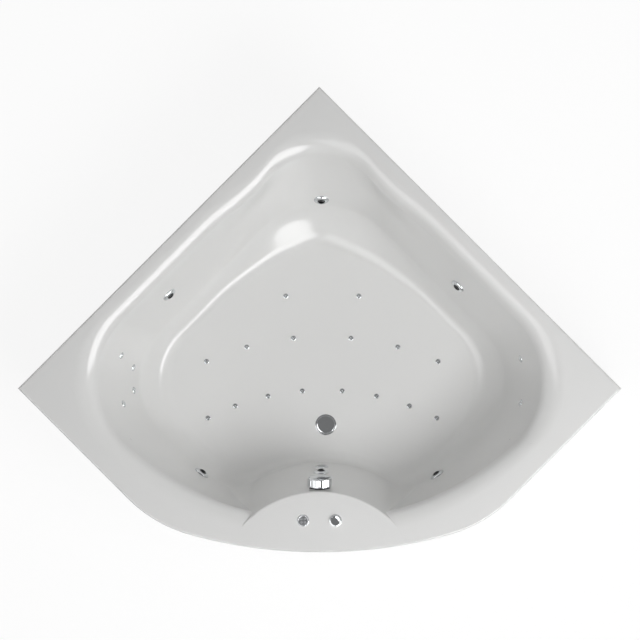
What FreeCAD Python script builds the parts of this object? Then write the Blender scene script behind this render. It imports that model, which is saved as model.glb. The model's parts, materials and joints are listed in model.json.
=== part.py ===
import FreeCAD, Part
import math
import os
from FreeCAD import Vector

# Corner bath with jets, 1400 x 1400 mm along the two walls, with a curved front.
# Millimetres. The origin is on the room floor under the middle of the bath. +X runs along the front,
# +Y points into the corner of the room and +Z is up.

# ---------------------------------------------------------------- driving sizes
HEIGHT = 580.0              # rim above the room floor
BASIN_DEPTH = 440.0         # rim down to the basin floor
SHELL_T = 5.0               # acrylic with its glass-fibre backing
WALL_SIDE = 1400.0          # length of each side that stands against a wall
OVERALL_DEPTH = 1527.0      # corner of the room to the middle of the front
FRONT_R = 1600.0            # long front curve
END_R = 460.0               # curve that joins the front to each return
LIP_DEPTH = 40.0            # turned-down edge of the rim
RIM_EDGE_R = 8.0
FLOOR_Z = HEIGHT - BASIN_DEPTH

# places in the plan are measured from the corner of the room, the middle of the front or the end of a wall
R2 = math.sqrt(2)
APEX_Y = OVERALL_DEPTH / 2
FRONT_Y = -OVERALL_DEPTH / 2
CORNER_Y = APEX_Y - WALL_SIDE / R2

# mouth and walls of the basin
DECK_FLAT = 24.0            # flat rim along the walls
RETURN_EXTRA = 35.0         # the rim is this much wider along the returns
ROLL_RUN = 66.0             # rounded mouth: how far in it reaches
ROLL_DEPTH = 75.0           # rounded mouth: how deep it reaches
WALL_DRAFT = 18.0           # degrees from upright
FLOOR_FILLET = 65.0
APEX_R_TOP, APEX_R_FLOOR = 255.0, 305.0
CORNER_R_TOP, CORNER_R_FLOOR = 290.0, 215.0
FRONT_R_TOP, FRONT_R_FLOOR = 985.0, 560.0
NOTCH_R_TOP, NOTCH_R_FLOOR = 6.0, 110.0

# control deck: a steep cone that bulges into the basin
ISLAND_R = 345.0
ISLAND_REACH = 198.9        # front of the bath to the deepest point of the control deck
ISLAND_DRAFT = 12.5
ISLAND_EDGE = 6.0
ISLAND_FILLET = 48.0

# board, frame and feet
BOARD_T = 16.0
BOARD_WASTE_R = 46.0        # hole for the waste body
BOARD_NOZZLE_R = 15.0       # hole for a nozzle's nut
BOARD_EDGE = 4.0            # the board stays this far inside the edge of the basin floor
DECK_BOARD_T = 12.0
TUBE = 30.0
TUBE_WALL = 2.0
MAIN_BEAM = (885.0, -190.0)     # half length and place along Y of each cross beam
REAR_BEAM = (370.0, 20.0)
FRONT_BEAM = (430.0, -415.0)
SIDE_BEAM_X = 330.0
SPINE_END_Y = APEX_Y - 98.5
UPRIGHT_X = 870.0
UPRIGHT_Y = APEX_Y - 113.5
RIM_BLOCK = (44.0, 44.0, 18.0)
BATTEN_L = 70.0
BATTEN_H = 33.0             # frame to floor board
BATTENS = [(-250.0, 20.0), (250.0, 20.0), (-230.0, -190.0), (230.0, -190.0), (-390.0, -190.0), (390.0, -190.0),
           (-150.0, -415.0), (150.0, -415.0)]
STUD_R = 6.0
PAD_R = 27.0
PAD_H = 16.0
STUD_SEAT_Z = 7.0           # bottom of the stud's socket in the pad
NUT_H = 10.0
FEET = [(840.0, -190.0), (-840.0, -190.0), (400.0, -415.0), (-400.0, -415.0),
        (353.0, 20.0), (-353.0, 20.0), (0.0, APEX_Y - 143.5)]

# front panel
PANEL_INSET = 20.0
PANEL_T = 4.0
PANEL_FLANGE = 22.0
PANEL_BOTTOM = 10.0
PANEL_GAP = 0.3

# jets (the place of each one in the plan, on the basin wall)
JETS = {
    "apex": (0.0, APEX_Y - 365.5),
    "left": (-500.0, 83.0),
    "right": (454.0, 111.0),
    "front_left": (-398.0, -511.0),
    "front_right": (385.0, -517.0),
}
ISLAND_JET_DEPTH = 262.0
JET_RING_R = 25.0
JET_RING_H = 8.0
JET_BALL_R = 14.0
JET_BALL_DEPTH = 1.0        # middle of the ball in front of the wall
JET_BORE_R = 6.5
JET_TUBE_R = 18.5
JET_BODY_L = 52.0
JET_WATER_H = -32.0         # place of the water inlet along the jet
JET_AIR_H = -68.0
JET_INLET_R, JET_INLET_L = 14.0, 30.0
JET_NIPPLE_R, JET_NIPPLE_L = 7.0, 14.0
JET_FLANGE_R = 22.4
JET_GASKET_T = 1.5
SEAT_BOSS = 8.0             # thickness of the shell where a fitting is clamped
SEAT_SINK = 0.4             # depth of the flat seat that is milled round each hole

MICRO_JETS = [(-658.0, -119.0), (-652.0, -279.0), (-623.5, -160.0), (-622.5, -235.0),
              (661.0, -130.0), (661.0, -275.0)]
MICRO_R = 11.5
MICRO_NIPPLE_H, MICRO_NIPPLE_L = -20.0, 18.0
MICRO_HOSE_R = 4.5

# floor air nozzles, in a row of two and two curved rows
NOZZLE_CAP_R = 9.0
NOZZLE_STEM_R = 6.0
REAR_NOZZLES = (122.0, APEX_Y - 685.5)
MIDDLE_ROW = (950.0, APEX_Y - 821.5, (5.8, 15.4, 24.0))    # radius, nearest point to the corner, angles
FRONT_ROW = (830.0, FRONT_Y + 527.5, (4.6, 12.6, 20.5, 27.4))
AIR_PIPE_R = 9.0
AIR_PIPE_DROP = 16.0        # floor board down to the middle of the air pipe
AIR_HEADER_X = 440.0

# waste and overflow
WASTE = (12.0, FRONT_Y + 412.5)
WASTE_R = 35.0
WASTE_TAIL_R = 20.0
WASTE_BORE_R = 17.0
WASTE_PORT_DROP = 40.0      # basin floor down to the overflow port
CABLE_PORT_TURN = -60.0     # degrees from +X
OUTLET_X = -280.0
OUTLET_DROP = 70.0          # overflow port down to the outlet, which passes under the frame
SPIGOT_L = 60.0             # plain end that takes the drain pipe's socket
PLUG_R = 30.5
PLUG_SEAT = 3.0             # basin floor up to the plug's cap
OVERFLOW_DEPTH = 60.0
OVERFLOW_R = 39.5
OVERFLOW_H = 36.0
OVERFLOW_FLUTES = 16
SPINDLE_R = 4.0
SUCTION_DEPTH = 340.0
SUCTION_R = 22.0
TRAP_PIPE_R = 20.0

# controls on the deck
CONTROL_X = 53.0
CONTROL_Y = FRONT_Y + 104.5
CONTROL_STEM_R = 15.0
KEYPAD_R = 20.0
KEY_R = 4.2
KEY_PITCH = 11.5
KEY_TRAVEL = 0.8
KNOB_R = 18.5
KNOB_H = 9.0
PEG_R = 5.0
REGULATOR_L = 55.0          # deck down to the end of the hose tail

# pipes
WATER_R = 16.0
WATER_Z = FLOOR_Z + 25.0
VENTURI_R = 9.0
VENTURI_Z = FLOOR_Z + 44.0
VENTURI_SHIFT = 34.0        # the air pipe runs this far outside the water pipe
SUCTION_PIPE_R = 18.0
OVERFLOW_PIPE_R = 13.0
CABLE_R = 3.0
# corners of the water pipe's way round the basin, right half
RING_LOBE = (262.0, FRONT_Y + 175.5)
RING_FRONT = (505.0, FRONT_Y + 293.5)
RING_LOW = (672.0, -335.0)
RING_HIGH = (672.0, -95.0)
RING_SHOULDER = (200.0, APEX_Y - 358.5)

# machines
PUMP_AXIS = (FRONT_Y + 151.5, 82.0)     # y and z of the shaft
PUMP_X = 225.0                  # middle of the pump housing
PUMP_R = 54.0
PUMP_W = 60.0
PUMP_NECK = 22.0                # length of the inlet and outlet necks
OUTLET_SIDE = 20.0              # the outlet stands this far towards the basin
MOTOR_R = 52.0
MOTOR_L = 170.0
BLOWER_X = 750.0
BLOWER_R = 66.0
BLOWER_H = 52.0
CONTROL_BOX = (-758.0, 130.0, 150.0, 66.0)      # middle along X, then length, width and height

# clearances
GAP = 0.3
SLIDE_GAP = 0.1
PIN_GAP = 0.1

# ---------------------------------------------------------------- worked out
RETURN_K = WALL_SIDE / R2 - CORNER_Y        # the right return lies on x - y = RETURN_K
ISLAND_Y = FRONT_Y + ISLAND_REACH - ISLAND_R
DECK_UNDER = HEIGHT - SHELL_T
BOARD_TOP = FLOOR_Z - SHELL_T
BOARD_BOTTOM = BOARD_TOP - BOARD_T
TUBE_TOP = BOARD_BOTTOM - BATTEN_H
TUBE_Z = TUBE_TOP - TUBE
AIR_PIPE_Z = BOARD_BOTTOM - AIR_PIPE_DROP
WASTE_PORT_Z = FLOOR_Z - WASTE_PORT_DROP
OUTLET_Z = WASTE_PORT_Z - OUTLET_DROP
CAP_Z = FLOOR_Z + PLUG_SEAT
REGULATOR_END = HEIGHT - REGULATOR_L
UP = Vector(0, 0, 1)
WALL_SLOPE = math.radians(90 - WALL_DRAFT)
WALL_TAN = math.tan(math.radians(WALL_DRAFT))
ROLL_ANGLE = math.atan(ROLL_RUN / ROLL_DEPTH * math.tan(WALL_SLOPE))
ROLL_END = ROLL_DEPTH * (1 - math.cos(ROLL_ANGLE))
ROLL_INSET = DECK_FLAT + ROLL_RUN * math.sin(ROLL_ANGLE)
FILLET_TOP = BASIN_DEPTH - FLOOR_FILLET * (1 - math.cos(WALL_SLOPE))
FILLET_INSET = ROLL_INSET + (FILLET_TOP - ROLL_END) * WALL_TAN
FLOOR_INSET = FILLET_INSET + FLOOR_FILLET * math.sin(WALL_SLOPE)
ISLAND_SLOPE = math.radians(90 - ISLAND_DRAFT)
ISLAND_TAN = math.tan(math.radians(ISLAND_DRAFT))


def box(x0, y0, z0, x1, y1, z1):
    return Part.makeBox(x1 - x0, y1 - y0, z1 - z0, Vector(x0, y0, z0))


def rod(radius, start, end):
    """A round bar between two points."""
    return Part.makeCylinder(radius, (end - start).Length, start, end - start)


def ring(outer, inner, height, base, axis=UP):
    body = Part.makeCylinder(outer, height, base, axis)
    return body.cut(Part.makeCylinder(inner, height, base, axis))


def turned(profile, base, axis=UP):
    """A lathe part: (radius, height) points turned about an axis through base.

    A point with four numbers ends an arc, which passes through the (radius, height) given last.
    """
    edges = []
    before = Vector(profile[-1][0], 0, profile[-1][1])
    for point in profile:
        after = Vector(point[0], 0, point[1])
        through = Vector(point[2], 0, point[3]) if len(point) == 4 else None
        edges.append((Part.Arc(before, through, after) if through else Part.LineSegment(before, after)).toShape())
        before = after
    face = Part.Face(Part.Wire(edges))
    solid = face.revolve(Vector(0, 0, 0), UP, 360)
    solid.Placement = FreeCAD.Placement(base, FreeCAD.Rotation(UP, axis))
    return solid


def hexagon(across, height, base, axis=UP):
    corner = across / math.sqrt(3)
    points = [Vector(corner * math.cos(math.radians(60 * k)), corner * math.sin(math.radians(60 * k)), 0)
              for k in range(7)]
    solid = Part.Face(Part.makePolygon(points)).extrude(Vector(0, 0, height))
    solid.Placement = FreeCAD.Placement(base, FreeCAD.Rotation(UP, axis))
    return solid


def fused(solids):
    return solids[0].multiFuse(solids[1:]).removeSplitter() if len(solids) > 1 else solids[0]


def bent_pipe(points, radius, bend):
    """A round pipe: straight runs with an elbow at each corner, as wide as the runs allow up to bend."""
    points = [Vector(*p) for p in points]
    pieces = []
    start = points[0]
    for before, corner, after in zip(points, points[1:], points[2:]):
        arrive = (corner - before).normalize()
        leave = (after - corner).normalize()
        half = arrive.getAngle(leave) / 2
        reach = min(bend * math.tan(half), 0.45 * (corner - before).Length, 0.45 * (after - corner).Length)
        first = corner - arrive * reach
        centre = corner + (leave - arrive).normalize() * reach / math.sin(half)
        section = Part.Face(Part.Wire([Part.makeCircle(radius, first, arrive)]))
        pieces.append(rod(radius, start, first))
        pieces.append(section.revolve(centre, arrive.cross(leave), math.degrees(2 * half)))
        start = corner + leave * reach
    pieces.append(rod(radius, start, points[-1]))
    return fused(pieces)


def square_tube(start, end, size=TUBE):
    """A square steel tube that lies along X, Y or Z."""
    half = size / 2
    along = (end - start).normalize()
    side = Vector(half * (1 - abs(along.x)), half * (1 - abs(along.y)), half * (1 - abs(along.z)))
    low = Vector(min(start.x, end.x), min(start.y, end.y), min(start.z, end.z)) - side
    high = Vector(max(start.x, end.x), max(start.y, end.y), max(start.z, end.z)) + side
    wall = Vector(*(TUBE_WALL if s else 0 for s in side))
    outer = box(low.x, low.y, low.z, high.x, high.y, high.z)
    low, high = low + wall, high - wall
    return outer.cut(box(low.x, low.y, low.z, high.x, high.y, high.z))


# ---------------------------------------------------------------- outline and level curves
def toward(centre, point, radius):
    return centre + (point - centre).normalize() * radius


def arc_middle(centre, start, end, radius):
    return centre + ((start - centre) + (end - centre)).normalize() * radius


def rim_outline(z, wall_inset=0.0, front_inset=0.0):
    """The bath's outline seen from above, moved in from the walls and from the free sides."""
    apex = Vector(0, APEX_Y - wall_inset * R2, z)
    corner = Vector(WALL_SIDE / R2 - (wall_inset + front_inset) / R2,
                    CORNER_Y + (front_inset - wall_inset) / R2, z)
    front_r = FRONT_R - front_inset
    end_r = END_R - front_inset
    front_c = Vector(0, FRONT_Y + FRONT_R, z)
    # the end arc touches the return and, from inside, the front arc
    bx = corner.x - end_r / R2
    by = corner.y + end_r / R2 - front_c.y
    gap = front_r - end_r
    run = (bx + by + math.sqrt((bx + by) ** 2 - 2 * (bx * bx + by * by - gap * gap))) / 2
    centre = Vector(bx - run, by - run + front_c.y, z)
    on_return = Vector(corner.x - run, corner.y - run, z)
    on_front = toward(front_c, centre, front_r)
    left = Vector(-on_front.x, on_front.y, z)
    front_middle = front_c - Vector(0, front_r, 0)
    mirrored = [Vector(-p.x, p.y, z) for p in (on_front, on_return, corner)]
    arc_mid = arc_middle(centre, on_return, on_front, end_r)
    return Part.Wire([
        Part.LineSegment(apex, corner).toShape(),
        Part.LineSegment(corner, on_return).toShape(),
        Part.Arc(on_return, arc_mid, on_front).toShape(),
        Part.Arc(on_front, front_middle, left).toShape(),
        Part.Arc(mirrored[0], Vector(-arc_mid.x, arc_mid.y, z), mirrored[1]).toShape(),
        Part.LineSegment(mirrored[1], mirrored[2]).toShape(),
        Part.LineSegment(mirrored[2], apex).toShape(),
    ])


def side_profile(depth):
    """How far in from the walls the basin wall stands at a depth, and its slope there."""
    if depth < ROLL_END:
        t = math.acos(1 - depth / ROLL_DEPTH)
        return DECK_FLAT + ROLL_RUN * math.sin(t), math.atan(ROLL_DEPTH / ROLL_RUN * math.tan(t))
    if depth <= FILLET_TOP:
        return ROLL_INSET + (depth - ROLL_END) * WALL_TAN, WALL_SLOPE
    a = math.acos(max(0.0, min(1.0, 1 - (BASIN_DEPTH - depth) / FLOOR_FILLET)))
    return FLOOR_INSET - FLOOR_FILLET * math.sin(a), a


def island_radius(depth):
    """Radius of the control deck's cone at a depth, with its rounded edge and its floor fillet."""
    edge_end = ISLAND_EDGE * (1 - math.cos(ISLAND_SLOPE))
    fillet_start = BASIN_DEPTH - ISLAND_FILLET * (1 - math.cos(ISLAND_SLOPE))
    if depth < edge_end:
        t = math.acos(1 - depth / ISLAND_EDGE)
        return ISLAND_R - ISLAND_EDGE * (math.tan(ISLAND_SLOPE / 2) - math.sin(t))
    if depth <= fillet_start:
        return ISLAND_R + depth * ISLAND_TAN
    a = math.acos(min(1.0, 1 - (BASIN_DEPTH - depth) / ISLAND_FILLET))
    floor_r = ISLAND_R + BASIN_DEPTH * ISLAND_TAN + ISLAND_FILLET * math.tan(ISLAND_SLOPE / 2)
    return floor_r - ISLAND_FILLET * math.sin(a)


def level(depth, grow=0.0):
    """Centres and radii of the basin's level curve at a depth, moved outwards by grow."""
    share = depth / BASIN_DEPTH

    def mix(top, floor, power=1.0):
        return top + (floor - top) * share ** power

    inset = side_profile(depth)[0] - grow
    top = APEX_Y - inset * R2
    k = RETURN_K - (inset + RETURN_EXTRA) * R2
    apex_r = mix(APEX_R_TOP, APEX_R_FLOOR) + grow
    corner_r = mix(CORNER_R_TOP, CORNER_R_FLOOR) + grow
    front_r = mix(FRONT_R_TOP, FRONT_R_FLOOR) + grow
    return {
        "top": top, "k": k, "apex_r": apex_r, "corner_r": corner_r, "front_r": front_r,
        "notch_r": mix(NOTCH_R_TOP, NOTCH_R_FLOOR, 1.5) + grow,
        "island_r": island_radius(depth) - grow,
        "apex_y": top - apex_r * R2,
        "corner": ((top + k) / 2 - corner_r * R2, (top - k) / 2),
        "front_y": front_r * R2 - k,
    }


def level_wire(depth, grow=0.0, drop=0.0):
    """The basin's level curve: four arcs and two lines on each side, all tangent to each other."""
    z = HEIGHT - depth - drop
    v = level(depth, grow)
    apex_c = Vector(0, v["apex_y"], z)
    corner_c = Vector(v["corner"][0], v["corner"][1], z)
    front_c = Vector(0, v["front_y"], z)
    island_c = Vector(0, ISLAND_Y, z)
    a = v["front_r"] - v["notch_r"]
    b = v["island_r"] + v["notch_r"]
    y = (b * b - a * a + front_c.y ** 2 - ISLAND_Y ** 2) / (2 * (front_c.y - ISLAND_Y))
    notch_c = Vector(math.sqrt(a * a - (y - front_c.y) ** 2), y, z)
    diagonal = Vector(1 / R2, 1 / R2, 0)
    down = Vector(1 / R2, -1 / R2, 0)
    apex_end = apex_c + diagonal * v["apex_r"]
    corner_start = corner_c + diagonal * v["corner_r"]
    corner_end = corner_c + down * v["corner_r"]
    front_start = front_c + down * v["front_r"]
    front_end = toward(front_c, notch_c, v["front_r"])
    island_start = toward(island_c, notch_c, v["island_r"])
    pieces = [
        (Vector(-apex_end.x, apex_end.y, z), apex_end, apex_c + Vector(0, v["apex_r"], 0)),
        (apex_end, corner_start, None),
        (corner_start, corner_end, corner_c + Vector(v["corner_r"], 0, 0)),
        (corner_end, front_start, None),
        (front_start, front_end, arc_middle(front_c, front_start, front_end, v["front_r"])),
        (front_end, island_start, arc_middle(notch_c, front_end, island_start, v["notch_r"])),
        (island_start, Vector(-island_start.x, island_start.y, z), island_c + Vector(0, v["island_r"], 0)),
    ]
    middle = pieces[1:-1]
    mirrored = [(Vector(-q.x, q.y, z), Vector(-p.x, p.y, z), Vector(-t.x, t.y, z) if t else None)
                for p, q, t in reversed(middle)]
    edges = [pieces[0]] + middle + [pieces[-1]] + mirrored
    return Part.Wire([(Part.Arc(p, t, q) if t else Part.LineSegment(p, q)).toShape() for p, q, t in edges])


def level_gap(x, y, depth):
    """How far inside the level curve a point of the outer walls lies (not for the control deck)."""
    v = level(depth)
    x = abs(x)
    corner_x, corner_y = v["corner"]
    if y - v["apex_y"] > x:
        return v["apex_r"] - math.hypot(x, y - v["apex_y"])
    if x - corner_x > abs(y - corner_y):
        return v["corner_r"] - math.hypot(x - corner_x, y - corner_y)
    if v["front_y"] - y > x:
        return v["front_r"] - math.hypot(x, y - v["front_y"])
    return min(v["top"] - x - y, v["k"] - x + y) / R2


def wall_depth(x, y):
    """Depth of the basin wall under a point of the plan."""
    low, high = 0.0, BASIN_DEPTH
    while high - low > 1e-4:
        middle = (low + high) / 2
        if level_gap(x, y, middle) > 0:
            low = middle
        else:
            high = middle
    return low


def wall_seat(x, y):
    """Point on the basin wall above (x, y) and the direction that points from there into the basin."""
    step = 0.5
    dx = (wall_depth(x + step, y) - wall_depth(x - step, y)) / (2 * step)
    dy = (wall_depth(x, y + step) - wall_depth(x, y - step)) / (2 * step)
    normal = Vector(dx, dy, 1).normalize()
    return Vector(x, y, HEIGHT - wall_depth(x, y)) - normal * SEAT_SINK, normal


def island_seat(depth, sink):
    """The same for a point in the middle of the front wall, sunk so that a flat flange seats all round."""
    normal = Vector(0, math.cos(math.radians(ISLAND_DRAFT)), math.sin(math.radians(ISLAND_DRAFT)))
    return Vector(0, ISLAND_Y + island_radius(depth), HEIGHT - depth) - normal * (sink + SEAT_SINK), normal


def sag(width, radius):
    return radius - math.sqrt(radius * radius - width * width)


SEATS = {name: wall_seat(x, y) for name, (x, y) in JETS.items()}
SEATS["island"] = island_seat(ISLAND_JET_DEPTH, sag(JET_RING_R, island_radius(ISLAND_JET_DEPTH)))
MICRO_SEATS = [wall_seat(x, y) for x, y in MICRO_JETS]
OVERFLOW_SEAT = island_seat(OVERFLOW_DEPTH, sag(OVERFLOW_R, island_radius(OVERFLOW_DEPTH)))
SUCTION_SEAT = island_seat(SUCTION_DEPTH, sag(SUCTION_R, island_radius(SUCTION_DEPTH)))


def along(seat, height):
    """A point on a fitting's axis, height in front of its seat."""
    return seat[0] + seat[1] * height


def row_points(row):
    """Places of the air nozzles of a curved row, from left to right."""
    radius, nearest, angles = row
    signed = [-a for a in reversed(angles)] + list(angles)
    return [(radius * math.sin(math.radians(a)), nearest - radius * (1 - math.cos(math.radians(a))))
            for a in signed]


NOZZLES = [(-REAR_NOZZLES[0], REAR_NOZZLES[1]), REAR_NOZZLES] + row_points(MIDDLE_ROW) + row_points(FRONT_ROW)


# ---------------------------------------------------------------- shell
BODY_BORE = {"jet": JET_TUBE_R + GAP, "micro": 8.0, "overflow": 27.0, "suction": 17.0}


def wall_fittings():
    """Seat, flange radius and bore radius of each fitting that is clamped in a basin wall."""
    rows = [(seat, JET_RING_R, BODY_BORE["jet"]) for seat in SEATS.values()]
    rows += [(seat, MICRO_R, BODY_BORE["micro"]) for seat in MICRO_SEATS]
    rows.append((OVERFLOW_SEAT, OVERFLOW_R, BODY_BORE["overflow"]))
    rows.append((SUCTION_SEAT, SUCTION_R, BODY_BORE["suction"]))
    return rows


def tub_shell():
    """Rim, deck and basin in one skin, with a flat boss behind each fitting."""
    inside = [0.0, 1.5, 6.0, 22.0, ROLL_END, FILLET_TOP]
    inside += [BASIN_DEPTH - FLOOR_FILLET * f for f in (0.37, 0.13)] + [BASIN_DEPTH]
    outside = [6.0, 22.0, ROLL_END, FILLET_TOP, BASIN_DEPTH - FLOOR_FILLET * 0.2, BASIN_DEPTH]
    void = Part.makeLoft([level_wire(d) for d in inside], True, True)
    skin = [level_wire(0.0, 3.0, SHELL_T / 2)]
    for depth in outside:
        slope = side_profile(depth)[1]
        skin.append(level_wire(depth, SHELL_T * math.sin(slope), SHELL_T * math.cos(slope)))
    basin = Part.makeLoft(skin, True, True)
    slab = Part.Face(rim_outline(HEIGHT - LIP_DEPTH)).extrude(Vector(0, 0, LIP_DEPTH))
    top_edges = [e for e in slab.Edges if abs(e.BoundBox.ZMin - HEIGHT) < 0.01]
    slab = slab.makeFillet(RIM_EDGE_R, top_edges)
    hollow = Part.Face(rim_outline(HEIGHT - LIP_DEPTH, SHELL_T, SHELL_T))
    slab = slab.cut(hollow.extrude(Vector(0, 0, LIP_DEPTH - SHELL_T)))
    bosses, cuts = [], []
    for (point, normal), flange, bore in wall_fittings():
        bosses.append(Part.makeCylinder(bore + 8, SEAT_BOSS - 0.5, point - normal * SEAT_BOSS, normal))
        cuts.append(Part.makeCylinder(flange + GAP, 25, point, normal))
        cuts.append(Part.makeCylinder(bore, 4 * SEAT_BOSS, point - normal * 2 * SEAT_BOSS, normal))
    for x, y in NOZZLES:
        cuts.append(Part.makeCylinder(NOZZLE_STEM_R + GAP, 20, Vector(x, y, BOARD_TOP - 5)))
    cuts.append(Part.makeCylinder(WASTE_TAIL_R + GAP, 20, Vector(WASTE[0], WASTE[1], BOARD_TOP - 5)))
    for x in (-CONTROL_X, CONTROL_X):
        cuts.append(Part.makeCylinder(CONTROL_STEM_R + GAP, 20, Vector(x, CONTROL_Y, DECK_UNDER - 5)))
    return slab.multiFuse([basin] + bosses).cut(void).cut(Part.makeCompound(cuts))


# ---------------------------------------------------------------- boards, frame and feet
def floor_board():
    """Chipboard under the basin floor, with holes round the waste and the air nozzles."""
    board = Part.Face(level_wire(BASIN_DEPTH, -BOARD_EDGE, 0)).extrude(Vector(0, 0, BOARD_T))
    board.translate(Vector(0, 0, BOARD_BOTTOM - FLOOR_Z))
    holes = [Part.makeCylinder(BOARD_NOZZLE_R, 2 * BOARD_T, Vector(x, y, BOARD_BOTTOM - 5)) for x, y in NOZZLES]
    holes.append(Part.makeCylinder(BOARD_WASTE_R, 2 * BOARD_T, Vector(WASTE[0], WASTE[1], BOARD_BOTTOM - 5)))
    return board.cut(Part.makeCompound(holes))


def deck_board():
    """Plywood under the control deck, which stiffens it for the controls."""
    z = DECK_UNDER - DECK_BOARD_T
    board = Part.Face(rim_outline(z, PANEL_INSET + 30, PANEL_INSET + 30)).extrude(Vector(0, 0, DECK_BOARD_T))
    board = board.common(Part.makeCylinder(ISLAND_R - 2 * SHELL_T, DECK_BOARD_T, Vector(0, ISLAND_Y, z)))
    holes = [Part.makeCylinder(CONTROL_STEM_R + 1, 40, Vector(x, CONTROL_Y, z - 5)) for x in (-CONTROL_X, CONTROL_X)]
    return board.cut(Part.makeCompound(holes))


def support_frame():
    """Square steel tube, butt-welded: three cross beams, side beams, a spine to the corner and three uprights."""
    z = TUBE_Z + TUBE / 2
    half = TUBE / 2
    runs = [(Vector(-length, y, z), Vector(length, y, z)) for length, y in (MAIN_BEAM, REAR_BEAM, FRONT_BEAM)]
    for x in (-SIDE_BEAM_X, SIDE_BEAM_X):
        for near, far in ((FRONT_BEAM, MAIN_BEAM), (MAIN_BEAM, REAR_BEAM)):
            runs.append((Vector(x, near[1] + half, z), Vector(x, far[1] - half, z)))
    runs.append((Vector(0, REAR_BEAM[1] + half, z), Vector(0, SPINE_END_Y, z)))
    for x, y in upright_places():
        runs.append((Vector(x, y, TUBE_TOP), Vector(x, y, DECK_UNDER - RIM_BLOCK[2])))
    frame = fused([square_tube(start, end) for start, end in runs])
    holes = [Part.makeCylinder(STUD_R + GAP, TUBE + 10, Vector(x, y, TUBE_Z - 5)) for x, y in FEET]
    return frame.cut(Part.makeCompound(holes))


def upright_places():
    return [(-UPRIGHT_X, MAIN_BEAM[1]), (UPRIGHT_X, MAIN_BEAM[1]), (0.0, UPRIGHT_Y)]


def wood_blocks():
    """Battens between the floor board and the beams, and pads between the rim and the uprights."""
    half = TUBE / 2
    blocks = [box(x - BATTEN_L / 2, y - half, TUBE_TOP, x + BATTEN_L / 2, y + half, BOARD_BOTTOM)
              for x, y in BATTENS]
    length, width, height = RIM_BLOCK
    for x, y in upright_places():
        blocks.append(box(x - length / 2, y - width / 2, DECK_UNDER - height,
                          x + length / 2, y + width / 2, DECK_UNDER))
    return Part.makeCompound(blocks)


def foot_studs():
    return Part.makeCompound([Part.makeCylinder(STUD_R, TUBE_TOP + 14 - STUD_SEAT_Z, Vector(x, y, STUD_SEAT_Z))
                              for x, y in FEET])


def foot_nuts():
    """A nut under the beam and one on top of it at each foot."""
    nuts = []
    for x, y in FEET:
        for z in (TUBE_Z - NUT_H, TUBE_TOP):
            nut = hexagon(19, NUT_H, Vector(x, y, z))
            nuts.append(nut.cut(Part.makeCylinder(STUD_R + PIN_GAP, 3 * NUT_H, Vector(x, y, z - NUT_H))))
    return Part.makeCompound(nuts)


def foot_pads():
    """Moulded pads with a socket for the stud."""
    profile = [(0, 0), (PAD_R, 0), (PAD_R, 4), (PAD_R - 3, 7), (13, 8), (11, PAD_H), (STUD_R + GAP, PAD_H),
               (STUD_R + GAP, STUD_SEAT_Z), (0, STUD_SEAT_Z)]
    return Part.makeCompound([turned(profile, Vector(x, y, 0)) for x, y in FEET])


# ---------------------------------------------------------------- front panel
def panel_strip(outer_inset, inner_inset, z, height):
    """The part of a band along the returns and the front that lies inside the two walls."""
    band = Part.Face(rim_outline(z, -60, outer_inset)).extrude(Vector(0, 0, height))
    band = band.cut(Part.Face(rim_outline(z, -90, inner_inset)).extrude(Vector(0, 0, height)))
    return band.common(Part.Face(rim_outline(z, SHELL_T + 1, 0)).extrude(Vector(0, 0, height)))


def front_panel():
    """Curved panel under the rim with a turned-in flange at the bottom."""
    top = DECK_UNDER - PANEL_GAP
    wall = panel_strip(PANEL_INSET, PANEL_INSET + PANEL_T, PANEL_BOTTOM, top - PANEL_BOTTOM)
    flange = panel_strip(PANEL_INSET + PANEL_T, PANEL_INSET + PANEL_T + PANEL_FLANGE, PANEL_BOTTOM, PANEL_T)
    return wall.fuse(flange).removeSplitter()


def panel_clips():
    """Steel angle clips under the rim that hold the top of the panel."""
    inner = PANEL_INSET + PANEL_T + GAP
    band = panel_strip(inner, inner + 2, DECK_UNDER - 25, 25)
    foot = panel_strip(inner, inner + 22, DECK_UNDER - 2, 2)
    angle = band.fuse(foot)
    centre = Vector(0, CORNER_Y, 0)
    clips = []
    for degrees in (-12.0, -42.0, -90.0, -138.0, -168.0):
        cutter = box(0, -15, 0, OVERALL_DEPTH, 15, HEIGHT)
        cutter.rotate(Vector(0, 0, 0), UP, degrees)
        cutter.translate(centre)
        clips += angle.common(cutter).Solids
    return Part.makeCompound(clips)


# ---------------------------------------------------------------- jets
def water_inlet(name):
    """Start and direction of a jet's water inlet: down, or sideways above the suction elbow."""
    way = Vector(-1, 0, 0) if name == "island" else -UP
    return along(SEATS[name], JET_WATER_H), way


def jet_body(name):
    """Housing behind the wall: flange, threaded tube, water inlet and air inlet."""
    seat = SEATS[name]
    flange_top = JET_GASKET_T + 2
    tube = turned([(JET_BALL_R + 2 * GAP, flange_top), (JET_FLANGE_R, flange_top), (JET_FLANGE_R, JET_GASKET_T),
                   (JET_TUBE_R, JET_GASKET_T), (JET_TUBE_R, -JET_BODY_L), (9, -JET_BODY_L - 4), (9, JET_AIR_H - 9),
                   (0, JET_AIR_H - 9), (0, -JET_BODY_L + 4), (5, -JET_BODY_L + 4), (5, -22),
                   (JET_BALL_R + 2 * GAP, -16)], seat[0], seat[1])
    water, way = water_inlet(name)
    air = along(seat, JET_AIR_H)
    inlet = rod(JET_INLET_R, water + way * 10, water + way * JET_INLET_L)
    nipple = rod(JET_NIPPLE_R, air - UP * 4, air - UP * JET_NIPPLE_L)
    return tube.multiFuse([inlet, nipple])


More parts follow.
